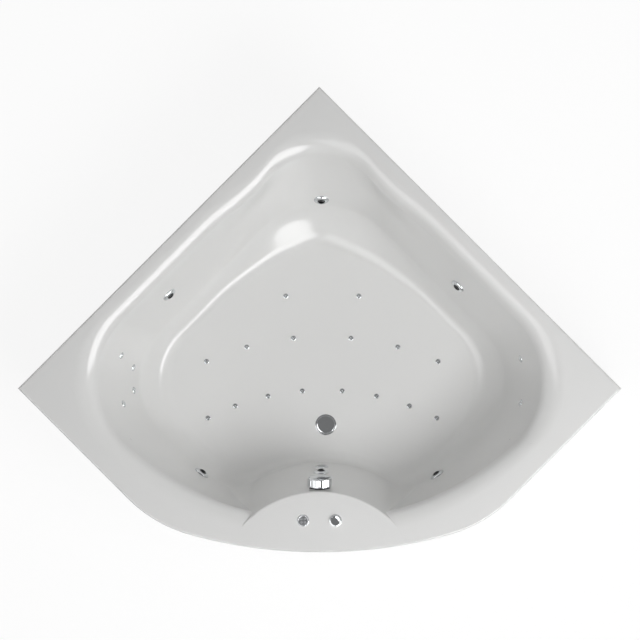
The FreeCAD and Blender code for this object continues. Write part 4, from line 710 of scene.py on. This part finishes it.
class BATH_OT_panel(BathPiece, bpy.types.Operator):
    """Curved front panel, swept along the free sides, with its flange and clips"""
    bl_idname = "bath.panel"
    bl_label = "Front panel"

    # the flange starts this far inside the sheet; both have slightly rounded edges
    LAP = 1.0
    ROUNDING = 1.2

    def execute(self, context):
        shape = context.scene.bath_shape
        curves = Curves(shape)
        low, high = [corner.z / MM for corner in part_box("front_panel")]
        t, inset, flange = shape.panel / MM, shape.panel_inset / MM, shape.panel_flange / MM
        bm = bmesh.new()
        sheet = (inset + t / 2, (low + high) / 2, t, high - low)
        turned_in = (inset + t + (flange - self.LAP) / 2, low + t / 2, flange + self.LAP, t)
        for depth, z, width, height in (sheet, turned_in):
            path = curves.rim_loop(WALL_CLEAR, z, depth, walls=False)
            path = path[(path[:, 0] + path[:, 1] < curves.apex_y - WALL_CLEAR * R2)]
            mesh = bpy.data.meshes.new("Panel path")
            mesh.from_pydata([tuple(p * MM) for p in path], [(k, k + 1) for k in range(len(path) - 1)], [])
            bm.from_mesh(swept(mesh, {"Width": width * MM, "Height": height * MM,
                                      "Rounding": self.ROUNDING * MM}))
        bmesh.ops.remove_doubles(bm, verts=bm.verts, dist=1e-6)
        bmesh.ops.recalc_face_normals(bm, faces=bm.faces)
        finished("Front panel", bm, ["acrylic"], "bath", ("front_panel",), 35.0)
        merged_copy("panel_clips", "zinc_steel")
        return {"FINISHED"}


def rule_tree(name, kind, inputs):
    """A node tree for a mesh, its input node, and the identifiers of its further inputs, all of one kind."""
    tree = bpy.data.node_groups.new(name, "GeometryNodeTree")
    tree.interface.new_socket("Geometry", in_out="INPUT", socket_type="NodeSocketGeometry")
    identifiers = {key: tree.interface.new_socket(key, in_out="INPUT", socket_type=kind).identifier
                   for key in inputs}
    tree.interface.new_socket("Geometry", in_out="OUTPUT", socket_type="NodeSocketGeometry")
    return tree, add_node(tree, "NodeGroupInput"), identifiers


def evaluated(mesh, tree, result, identifiers, values):
    """The plain mesh that a node tree makes of a mesh, when a socket holds its result."""
    add_node(tree, "NodeGroupOutput", links={0: result})
    holder = bpy.data.objects.new("Workpiece", mesh)
    bpy.context.scene.collection.objects.link(holder)
    modifier = holder.modifiers.new("Rule", "NODES")
    modifier.node_group = tree
    for name, value in values.items():
        modifier[identifiers[name]] = value
    graph = bpy.context.evaluated_depsgraph_get()
    made = bpy.data.meshes.new_from_object(holder.evaluated_get(graph), depsgraph=graph)
    bpy.data.objects.remove(holder)
    return made


def swept(path, values):
    """A bar with a rounded rectangular section, swept along a path of edges by a node tree."""
    tree, given, identifiers = rule_tree("Rounded bar along a path", "NodeSocketFloat", values)
    curve = add_node(tree, "GeometryNodeMeshToCurve", links={"Mesh": given.outputs["Geometry"]})
    upright = add_node(tree, "GeometryNodeSetCurveNormal", {"mode": "Z_UP"},
                       {"Curve": curve.outputs["Curve"]})
    section = add_node(tree, "GeometryNodeCurvePrimitiveQuadrilateral", {"mode": "RECTANGLE"},
                       {"Width": given.outputs["Width"], "Height": given.outputs["Height"]})
    rounded = add_node(tree, "GeometryNodeFilletCurve", {"mode": "POLY", "Count": 3, "Limit Radius": True},
                       {"Curve": section.outputs["Curve"], "Radius": given.outputs["Rounding"]})
    bar = add_node(tree, "GeometryNodeCurveToMesh", {"Fill Caps": True},
                   {"Curve": upright.outputs["Curve"], "Profile Curve": rounded.outputs["Curve"]})
    return evaluated(path, tree, bar.outputs["Mesh"], identifiers, values)


class BATH_OT_jets(BathPiece, bpy.types.Operator):
    """Chrome rings with swivelling nozzles, and the jet bodies behind the shell"""
    bl_idname = "bath.jets"
    bl_label = "Jets"

    RING = [(22.7, 0.3), (25.0, 0.3, 0.3), (25.0, 2.6, 0.6), (23.2, 5.2, 1.5), (19.6, 7.4, 1.5),
            (17.0, 8.0, 0.8), (15.2, 7.2, 0.5), (13.2, 7.6, 0.6), (12.55, 7.9, 0.3), (13.6, 5.8),
            (14.02, 3.8), (22.7, 3.8)]
    NOZZLE = [(6.5, -8.0), (10.72, -8.0, 0.4), (13.2, -3.7), (14.0, 1.0), (13.5, 4.7), (12.1, 8.0),
              (10.4, 10.4), (9.3, 11.5, 0.5), (8.1, 11.5, 0.5), (7.4, 8.6, 0.8), (6.5, 5.0, 0.8)]
    # the frame gives a ring's joint this far in front of the ring's seat
    JOINT_AHEAD = 1.0

    def execute(self, context):
        for name in JET_NAMES:
            base, axis = seat_of("ring_turn_" + name, self.JOINT_AHEAD)
            lathed("Jet ring " + name, self.RING, base, axis, "chrome", "ring_" + name, ("jet_ring_" + name,))
            lathed("Jet nozzle " + name, self.NOZZLE, base, axis, "acetal", "nozzle_" + name,
                   ("jet_nozzle_" + name,), sharp=26.0)
        merged_copy("jet_bodies", "white_plastic")
        merged_copy("jet_nuts", "black_plastic")
        merged_copy("jet_gaskets", "rubber")
        return {"FINISHED"}


class BATH_OT_small_jets(BathPiece, bpy.types.Operator):
    """Small fixed jets in the end walls, one cap placed at each seat by a node tree"""
    bl_idname = "bath.small_jets"
    bl_label = "Small jets"

    PLACES = ((-658.0, -119.0), (-652.0, -279.0), (-623.5, -160.0), (-622.5, -235.0), (661.0, -130.0),
              (661.0, -275.0))
    CAP = [(3.0, -6.0), (5.7, -6.0), (5.7, 0.0), (11.5, 0.0, 0.2), (11.5, 1.4, 0.5), (9.6, 3.2, 0.9),
           (6.4, 3.9, 0.6), (5.0, 3.1, 0.4), (3.6, 2.9, 0.3), (3.0, 2.2, 0.2)]

    def execute(self, context):
        curves = Curves(context.scene.bath_shape)
        seats = [curves.wall_seat(x, y) for x, y in self.PLACES]
        points = [(point - normal * SEAT_SINK, normal) for point, normal in seats]
        repeated("Small jets", self.CAP, points, "silver_plastic", ("micro_jets",))
        merged_copy("micro_jet_bodies", "white_plastic")
        merged_copy("micro_hoses", "hose")
        return {"FINISHED"}


def repeated(name, profile, seats, finish, replaced, steps=48):
    """One turned cap, placed at every seat by a node tree that turns it to the seat's direction."""
    bm = bmesh.new()
    lathe(bm, profile, steps=steps)
    bmesh.ops.recalc_face_normals(bm, faces=bm.faces)
    master_mesh = bpy.data.meshes.new(name + " master")
    bm.to_mesh(master_mesh)
    bm.free()
    master = bpy.data.objects.new(name + " master", master_mesh)
    places = bpy.data.meshes.new(name + " places")
    places.from_pydata([tuple(point * MM) for point, _ in seats], [], [])
    heading = places.attributes.new("heading", "FLOAT_VECTOR", "POINT")
    heading.data.foreach_set("vector", [c for _, normal in seats for c in normal])

    tree, given, identifiers = rule_tree(name + " at their seats", "NodeSocketObject", ["Piece"])
    info = add_node(tree, "GeometryNodeObjectInfo", links={"Object": given.outputs["Piece"]})
    seat = add_node(tree, "GeometryNodeInputNamedAttribute", {"data_type": "FLOAT_VECTOR", "Name": "heading"})
    turned = add_node(tree, "FunctionNodeAlignRotationToVector", {"axis": "Z"},
                      {"Vector": seat.outputs["Attribute"]})
    placed = add_node(tree, "GeometryNodeInstanceOnPoints",
                      links={"Points": given.outputs["Geometry"], "Instance": info.outputs["Geometry"],
                             "Rotation": turned.outputs["Rotation"]})
    real = add_node(tree, "GeometryNodeRealizeInstances", links={"Geometry": placed.outputs["Instances"]})
    mesh = evaluated(places, tree, real.outputs["Geometry"], identifiers, {"Piece": master})
    bpy.data.objects.remove(master)
    return finished(name, mesh, [finish], "bath", replaced)


class BATH_OT_air_nozzles(BathPiece, bpy.types.Operator):
    """Sixteen domed air nozzles in the floor, in a row of two and two curved rows"""
    bl_idname = "bath.air_nozzles"
    bl_label = "Floor air nozzles"

    REAR = (122.0, 78.0)
    # radius of each curved row, y of its middle, and bearings of its nozzles to one side in degrees
    ROWS = ((950.0, -58.0, (5.8, 15.4, 24.0)), (830.0, -236.0, (4.6, 12.6, 20.5, 27.4)))
    CAP = [(0.0, -1.5), (5.8, -1.5), (5.8, 0.0), (9.0, 0.0, 0.1), (9.0, 0.9, 0.4), (7.0, 2.1, 0.8),
           (4.0, 2.7, 0.4), (3.2, 1.9, 0.2), (2.2, 1.9, 0.2), (1.2, 2.8, 0.3), (0.0, 2.8)]

    def execute(self, context):
        floor = self.floor_height(context)
        x, y = self.REAR
        places = [(-x, y), (x, y)]
        for radius, nearest, angles in self.ROWS:
            for angle in [-a for a in reversed(angles)] + list(angles):
                turn = math.radians(angle)
                places.append((radius * math.sin(turn), nearest - radius * (1 - math.cos(turn))))
        seats = [(Vector((px, py, floor)), Vector(UP)) for px, py in places]
        repeated("Floor air nozzles", self.CAP, seats, "silver_plastic", ("air_nozzles",), 40)
        merged_copy("injector_bodies", "white_plastic")
        return {"FINISHED"}


class BATH_OT_waste(BathPiece, bpy.types.Operator):
    """Chrome waste in the floor with its lifting plug, and the trap below"""
    bl_idname = "bath.waste"
    bl_label = "Waste"

    DISH = [(17.0, -34.0), (20.0, -34.0), (20.0, 0.0), (35.0, 0.0, 0.1), (35.0, 1.3, 0.5), (32.6, 2.3, 0.9),
            (29.4, 2.0, 0.8), (26.0, 1.2, 0.6), (18.2, 1.2, 0.6), (17.0, 0.0, 0.6)]
    CAP = [(0.0, 3.0), (3.0, 3.0), (28.6, 3.0, 0.5), (30.5, 4.0, 0.6), (30.0, 5.4, 1.0), (26.0, 6.7, 2.0),
           (14.0, 7.5, 3.0), (0.0, 7.6)]
    STEM = [(0.0, -44.0), (3.0, -44.0, 0.4), (3.0, 3.2), (0.0, 3.2)]

    def execute(self, context):
        base = (WASTE_X, WASTE_Y, self.floor_height(context))
        lathed("Waste dish", self.DISH, base, UP, "chrome", "bath", ("waste_flange",), 128)
        bm = bmesh.new()
        lathe(bm, self.CAP, base, UP, 128)
        lathe(bm, self.STEM, base, UP, 24)
        bmesh.ops.recalc_face_normals(bm, faces=bm.faces)
        finished("Waste plug", bm, ["chrome"], "plug", ("waste_plug",))
        merged_copy("plug_seal", "rubber", "plug")
        merged_copy("waste_seal", "rubber")
        merged_copy("waste_body", "white_plastic")
        merged_copy("waste_trap", "white_plastic")
        return {"FINISHED"}


class BATH_OT_overflow(BathPiece, bpy.types.Operator):
    """Overflow with its fluted chrome knob, the body behind it, its pipe and the cable to the plug"""
    bl_idname = "bath.overflow"
    bl_label = "Overflow"

    KNOB_R = 39.5
    KNOB = [(37.0, 8.0), (KNOB_R, 8.0, 0.5), (KNOB_R, 9.6), (KNOB_R, 12.0), (KNOB_R, 14.0), (KNOB_R, 22.0),
            (KNOB_R, 30.0), (KNOB_R, 32.0), (KNOB_R, 33.6, 0.6), (38.4, 35.4, 0.9), (35.6, 36.0, 0.9),
            (33.2, 35.2, 0.6), (20.0, 34.6, 2.0), (0.0, 34.4), (0.0, 32.0), (36.0, 32.4, 0.5)]
    SPINDLE = [(0.0, -40.0), (4.0, -40.0, 0.4), (4.0, 5.0), (7.5, 5.0, 0.4), (7.5, 32.5), (0.0, 32.5)]
    FACE = [(8.0, 3.0), (8.0, 4.2), (31.0, 4.2, 0.8), (35.6, 2.2, 0.8), (35.6, 0.0), (31.0, 0.0), (31.0, 3.0)]
    # flutes: their number, depth, first and last height, and mesh columns for each
    FLUTES, FLUTE_DEPTH, FLUTE_FROM, FLUTE_TO, FLUTE_STEPS = 16, 1.5, 11.0, 33.0, 14
    # the frame gives the knob's joint this far in front of the seat on the wall
    JOINT_AHEAD = 20.0

    def execute(self, context):
        base, axis = seat_of("overflow_turn", self.JOINT_AHEAD)
        bm = bmesh.new()
        lathe(bm, self.KNOB, base, axis, self.FLUTES * self.FLUTE_STEPS, self.flute)
        lathe(bm, self.SPINDLE, base, axis, 40)
        bmesh.ops.recalc_face_normals(bm, faces=bm.faces)
        finished("Overflow knob", bm, ["chrome"], "knob", ("overflow_knob",), 28.0)
        lathed("Overflow face", self.FACE, base, axis, "chrome", "bath")
        merged_copy("overflow_body", "white_plastic")
        merged_copy("overflow_pipe", "pipe_plastic", sharp=50.0)
        merged_copy("waste_cable", "rubber", sharp=60.0)
        return {"FINISHED"}

    @classmethod
    def flute(cls, angle, radius, height):
        """Change of the knob's radius: grooves down its side, none on its ends."""
        if radius < cls.KNOB_R - 0.1 or not cls.FLUTE_FROM < height < cls.FLUTE_TO:
            return 0.0
        return -cls.FLUTE_DEPTH * max(0.0, math.cos(cls.FLUTES * angle)) ** 2


class BATH_OT_suction(BathPiece, bpy.types.Operator):
    """Suction fitting: a domed cover whose holes are cut by a node tree, over the elbow and its pipe"""
    bl_idname = "bath.suction"
    bl_label = "Suction"

    COVER_R = 22.0
    COVER = [(0.0, 1.6), (16.0, 1.6), (16.0, 0.1), (COVER_R, 0.1, 0.2), (COVER_R, 1.6, 0.6), (20.0, 3.5, 1.2),
             (15.8, 4.7, 1.2), (0.0, 5.2)]
    # thin black disc inside the cover's skirt, seen through its holes: partly the black suction body behind,
    # partly painted shade standing in for the dark hole that the shell has no cut for
    SHADED_WELL_DISC = [(0.0, 0.2), (15.8, 0.2), (15.8, 0.6), (0.0, 0.6)]
    HOLES = {"Hole": 1.8 * MM, "Inner ring": 6.0 * MM, "Outer ring": 11.5 * MM}

    def execute(self, context):
        draft = math.radians(Curves.ISLAND_DRAFT)
        axis = Vector((0, math.cos(draft), math.sin(draft)))
        # the cover leans with the wall, so the lower edge of its disc starts its box
        low, high = [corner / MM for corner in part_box("suction_cover")]
        base = Vector(((low.x + high.x) / 2, low.y + self.COVER_R * axis.z, low.z + self.COVER_R * axis.y))
        bm = bmesh.new()
        lathe(bm, self.COVER)
        bmesh.ops.recalc_face_normals(bm, faces=bm.faces)
        mesh = bpy.data.meshes.new("Cover blank")
        bm.to_mesh(mesh)
        bm.free()
        mesh = perforated(mesh, self.HOLES)
        turn = Vector(UP).rotation_difference(axis).to_matrix().to_4x4()
        mesh.transform(Matrix.Translation(base * MM) @ turn)
        finished("Suction cover", mesh, ["chrome"], "bath", ("suction_cover",))
        merged_copy("suction_body", "black_plastic")
        merged_copy("suction_pipe", "pipe_plastic", sharp=50.0)
        # the black disc under the cover: painted shade for the hole behind the holes, in the suction body's
        # black
        lathed("Suction well", self.SHADED_WELL_DISC, base, axis, "black_plastic", "bath")
        return {"FINISHED"}


def perforated(mesh, values):
    """Cuts a hole in the middle and two rings of holes through a blank, by a node tree."""
    tree, given, identifiers = rule_tree("Ring of holes", "NodeSocketFloat", values)
    inner = add_node(tree, "GeometryNodeMeshCircle", {"Vertices": 6},
                     {"Radius": given.outputs["Inner ring"]})
    outer = add_node(tree, "GeometryNodeMeshCircle", {"Vertices": 12},
                     {"Radius": given.outputs["Outer ring"]})
    # a tiny triangle merged into one point marks the middle
    middle = add_node(tree, "GeometryNodeMeshCircle", {"Vertices": 3, "Radius": 1e-5})
    one = add_node(tree, "GeometryNodeMergeByDistance", {"Distance": 1e-3},
                   {"Geometry": middle.outputs["Mesh"]})
    places = add_node(tree, "GeometryNodeJoinGeometry")
    for socket in (inner.outputs["Mesh"], outer.outputs["Mesh"], one.outputs["Geometry"]):
        tree.links.new(socket, places.inputs["Geometry"])
    drill = add_node(tree, "GeometryNodeMeshCylinder", {"Vertices": 20, "Depth": 0.03},
                     {"Radius": given.outputs["Hole"]})
    drills = add_node(tree, "GeometryNodeInstanceOnPoints",
                      links={"Points": places.outputs["Geometry"], "Instance": drill.outputs["Mesh"]})
    real = add_node(tree, "GeometryNodeRealizeInstances", links={"Geometry": drills.outputs["Instances"]})
    cut = add_node(tree, "GeometryNodeMeshBoolean", {"operation": "DIFFERENCE"},
                   {"Mesh 1": given.outputs["Geometry"], "Mesh 2": real.outputs["Geometry"]})
    return evaluated(mesh, tree, cut.outputs["Mesh"], identifiers, values)


class BATH_OT_controls(BathPiece, bpy.types.Operator):
    """Round pad with four keys, and the dished air regulator beside it"""
    bl_idname = "bath.controls"
    bl_label = "Deck controls"

    PAD = [(0.0, -34.0), (15.0, -34.0), (15.0, 0.0), (20.0, 0.0, 0.2), (20.0, 1.2, 0.6), (18.0, 3.4, 0.9),
           (15.6, 3.3, 0.6), (14.6, 2.2, 0.3), (0.0, 2.2)]
    KEY = [(0.0, -2.9), (4.2, -2.9), (4.2, 3.0, 0.5), (3.5, 3.5, 0.5), (0.0, 3.7)]
    COLLAR = [(5.1, -20.0), (5.1, 2.0), (18.0, 2.0, 0.3), (20.0, 1.4, 0.5), (20.0, 0.0, 0.1), (15.0, 0.0),
              (15.0, -38.0), (9.0, -42.0), (9.0, -55.0), (0.0, -55.0), (0.0, -20.0)]
    KNOB = [(0.0, -19.7), (5.0, -19.7, 0.4), (5.0, 2.3), (18.5, 2.3, 0.4), (18.5, 7.6, 1.0),
            (17.6, 10.2, 1.2), (15.4, 11.0, 1.0), (13.2, 10.2, 1.2), (8.0, 8.7, 2.0), (0.0, 8.2)]

    def execute(self, context):
        pad = self.on_deck(context, "keypad_housing")
        lathed("Key pad", self.PAD, pad, UP, "silver_plastic", "bath", ("keypad_housing",))
        for key in ("key_1", "key_2", "key_3", "key_4"):
            place = self.on_deck(context, "keypad_" + key)
            lathed(key.capitalize(), self.KEY, place, UP, "key_plastic", key, ("keypad_" + key,), 40)
        base = self.on_deck(context, "regulator_body")
        lathed("Regulator collar", self.COLLAR, base, UP, "silver_plastic", "bath", ("regulator_body",))
        lathed("Regulator knob", self.KNOB, base, UP, "chrome", "air_knob", ("regulator_knob",))
        merged_copy("deck_nuts", "white_plastic")
        return {"FINISHED"}

    @staticmethod
    def on_deck(context, node):
        """Point of the deck, in millimetres, that a node stands on."""
        low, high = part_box(node)
        return Vector(((low.x + high.x) / 2, (low.y + high.y) / 2, context.scene.bath_shape.rim_height)) / MM


class BATH_OT_support(BathPiece, bpy.types.Operator):
    """Floor board, deck board, wooden blocks, steel frame and adjustable feet"""
    bl_idname = "bath.support"
    bl_label = "Frame and feet"

    def execute(self, context):
        for node, finish in (("floor_board", "board"), ("deck_board", "board"), ("wood_blocks", "board"),
                             ("support_frame", "zinc_steel"), ("foot_studs", "zinc_steel"),
                             ("foot_nuts", "zinc_steel"), ("foot_pads", "black_plastic")):
            merged_copy(node, finish)
        return {"FINISHED"}


class BATH_OT_works(BathPiece, bpy.types.Operator):
    """Pump, blower, control box and the pipes round the basin"""
    bl_idname = "bath.works"
    bl_label = "Pump, blower and pipes"

    def execute(self, context):
        for node, finish in (("pump_housing", "pump_plastic"), ("pump_base", "pump_plastic"),
                             ("pump_motor", "motor_paint"), ("union_nuts", "black_plastic"),
                             ("blower", "black_plastic"), ("control_box", "black_plastic"),
                             ("water_manifold", "pipe_plastic"), ("venturi_pipe", "pipe_plastic"),
                             ("floor_air_pipe", "pipe_plastic")):
            merged_copy(node, finish, sharp=40.0)
        return {"FINISHED"}


# ---------------------------------------------------------------- stage
class BATH_OT_stage(bpy.types.Operator):
    """Pale floor, soft studio light and the camera straight above"""
    bl_idname = "bath.stage"
    bl_label = "Stage"

    # the camera: scale of the picture, lean in degrees, distance in metres, width in pixels, middle in mm
    MM_PER_PIXEL = 3.278
    CAMERA_TILT = 1.24
    CAMERA_AWAY = 25.0
    PICTURE = 640
    MIDDLE = (2.3, -1.6)
    # light of the room, brightness of the ceiling in reflections, and the upward directions where it sets in
    AMBIENT = 0.37
    CEILING = 0.22
    CEILING_RISE = (0.3, 0.7)
    # how much of the floor's look is its own white, how bright that is, and half its side in metres
    FLOOR_GLOW = 0.86
    GLOW_STRENGTH = 1.02
    FLOOR_HALF = 30.0
    # bearing and angle from upright in degrees, distance, length and width in metres, watts, what they light
    LAMPS = (("Key", 315.0, 35.0, 8.0, 2.8, 2.8, 125.0, ("diffuse",)),
             ("Top", 315.0, 30.0, 4.0, 2.5, 2.5, 58.0, ("diffuse",)),
             ("Strip", 315.0, 60.0, 8.0, 9.6, 5.2, 950.0, ("glossy",)),
             ("Fill strip", 225.0, 42.0, 8.0, 8.0, 5.0, 300.0, ("glossy",)))

    def execute(self, context):
        scene = context.scene
        target = Vector((self.MIDDLE[0] * MM, self.MIDDLE[1] * MM, scene.bath_shape.rim_height))
        self.add_camera(scene, target)
        self.add_floor(scene)
        self.light_room(scene)
        for lamp in self.LAMPS:
            self.add_lamp(scene, target, *lamp)
        scene.view_settings.view_transform = "Standard"
        return {"FINISHED"}

    def add_camera(self, scene, target):
        """The camera, almost straight above, as far off as it takes to show hardly any perspective."""
        camera = bpy.data.objects.new("Camera", bpy.data.cameras.new("Camera"))
        scene.collection.objects.link(camera)
        tilt = math.radians(self.CAMERA_TILT)
        camera.location = target + Vector((math.sin(tilt), 0, math.cos(tilt))) * self.CAMERA_AWAY
        camera.rotation_euler = (0, tilt, 0)
        wide = self.MM_PER_PIXEL * self.PICTURE * MM
        camera.data.lens = camera.data.sensor_width * self.CAMERA_AWAY / wide
        camera.data.clip_end = 200
        scene.camera = camera

    def add_floor(self, scene):
        """The floor of the studio."""
        half = self.FLOOR_HALF
        mesh = bpy.data.meshes.new("Floor")
        mesh.from_pydata([(-half, -half, 0), (half, -half, 0), (half, half, 0), (-half, half, 0)], [],
                         [(0, 1, 2, 3)])
        floor = bpy.data.objects.new("Floor", mesh)
        mesh.materials.append(self.floor_finish())
        scene.collection.objects.link(floor)

    def light_room(self, scene):
        """The world: white to the camera, soft light on the bath, and a darker ceiling in reflections."""
        scene.world = bpy.data.worlds.new("Studio")
        scene.world.use_nodes = True
        tree = scene.world.node_tree
        direction = add_node(tree, "ShaderNodeTexCoord")
        height = add_node(tree, "ShaderNodeSeparateXYZ", links={0: direction.outputs["Generated"]})
        ceiling = add_node(tree, "ShaderNodeMapRange",
                           {"interpolation_type": "SMOOTHSTEP", "From Min": self.CEILING_RISE[0],
                            "From Max": self.CEILING_RISE[1], "To Min": 1.0, "To Max": self.CEILING},
                           {"Value": height.outputs["Z"]})
        path = add_node(tree, "ShaderNodeLightPath")
        shown = add_node(tree, "ShaderNodeMath", {"operation": "MAXIMUM"},
                         {0: path.outputs["Is Camera Ray"], 1: ceiling.outputs["Result"]})
        seen = add_node(tree, "ShaderNodeMath", {"operation": "SUBTRACT", 1: self.AMBIENT},
                        {0: shown.outputs[0]})
        strength = add_node(tree, "ShaderNodeMath", {"operation": "MULTIPLY_ADD", 2: self.AMBIENT},
                            {0: seen.outputs[0], 1: self.seen_directly(tree)})
        background = tree.nodes["Background"]
        background.inputs["Color"].default_value = (1, 1, 1, 1)
        tree.links.new(strength.outputs[0], background.inputs["Strength"])

    def add_lamp(self, scene, target, name, turn, tilt, away, length, width, power, lights):
        """A soft box that faces the bath and lights only what its last value says."""
        light = bpy.data.lights.new(name, "AREA")
        light.shape = "RECTANGLE"
        light.size, light.size_y = length, width
        light.energy = power
        lamp = bpy.data.objects.new(name, light)
        lamp.visible_diffuse = "diffuse" in lights
        lamp.visible_glossy = "glossy" in lights
        turn, tilt = math.radians(turn), math.radians(tilt)
        way = Vector((math.sin(tilt) * math.cos(turn), math.sin(tilt) * math.sin(turn), math.cos(tilt)))
        lamp.location = target + way * away
        lamp.rotation_euler = (-way).to_track_quat("-Z", "Y").to_euler()
        scene.collection.objects.link(lamp)

    def seen_directly(self, tree):
        """1 where the camera sees it, straight or in metal and glass."""
        path = add_node(tree, "ShaderNodeLightPath")
        either = add_node(tree, "ShaderNodeMath", {"operation": "MAXIMUM"},
                          {0: path.outputs["Is Camera Ray"], 1: path.outputs["Is Glossy Ray"]})
        return add_node(tree, "ShaderNodeMath", {"operation": "MAXIMUM"},
                        {0: either.outputs[0], 1: path.outputs["Is Transmission Ray"]}).outputs[0]

    def floor_finish(self):
        """Plain pale floor that shows white and keeps the object's shadow."""
        made, tree, shader = finish_material("Pale floor", linear("#FFFFFF"), 0.9)
        glow = add_node(tree, "ShaderNodeEmission", {"Strength": self.GLOW_STRENGTH})
        mix = add_node(tree, "ShaderNodeMixShader", links={1: shader.outputs[0], 2: glow.outputs[0]})
        lit = add_node(tree, "ShaderNodeMath", {"operation": "MULTIPLY", 1: self.FLOOR_GLOW},
                       {0: self.seen_directly(tree)})
        tree.links.new(lit.outputs[0], mix.inputs[0])
        tree.links.new(mix.outputs[0], tree.nodes["Material Output"].inputs["Surface"])
        return made


# ---------------------------------------------------------------- add-on
STEPS = (BATH_OT_shell, BATH_OT_panel, BATH_OT_jets, BATH_OT_small_jets, BATH_OT_air_nozzles, BATH_OT_waste,
         BATH_OT_overflow, BATH_OT_suction, BATH_OT_controls, BATH_OT_support, BATH_OT_works, BATH_OT_stage)


class BATH_PT_sidebar(bpy.types.Panel):
    """Sizes, finishes and the steps that dress the bath"""
    bl_label = "Corner Jet Bath"
    bl_space_type = "VIEW_3D"
    bl_region_type = "UI"
    bl_category = "Bath"

    def draw(self, context):
        for group in (context.scene.bath_shape, context.scene.bath_look):
            box = self.layout.box()
            for name in group.__annotations__:
                box.prop(group, name)
        for step in STEPS:
            self.layout.operator(step.bl_idname)


CLASSES = (BathShape, BathLook, *STEPS, BATH_PT_sidebar)


def register():
    for cls in CLASSES:
        bpy.utils.register_class(cls)
    bpy.types.Scene.bath_shape = bpy.props.PointerProperty(type=BathShape)
    bpy.types.Scene.bath_look = bpy.props.PointerProperty(type=BathLook)


def unregister():
    del bpy.types.Scene.bath_look
    del bpy.types.Scene.bath_shape
    for cls in reversed(CLASSES):
        bpy.utils.unregister_class(cls)


def main():
    register()
    for step in STEPS:
        group, name = step.bl_idname.split(".")
        getattr(getattr(bpy.ops, group), name)()


if __name__ == "__main__":
    main()
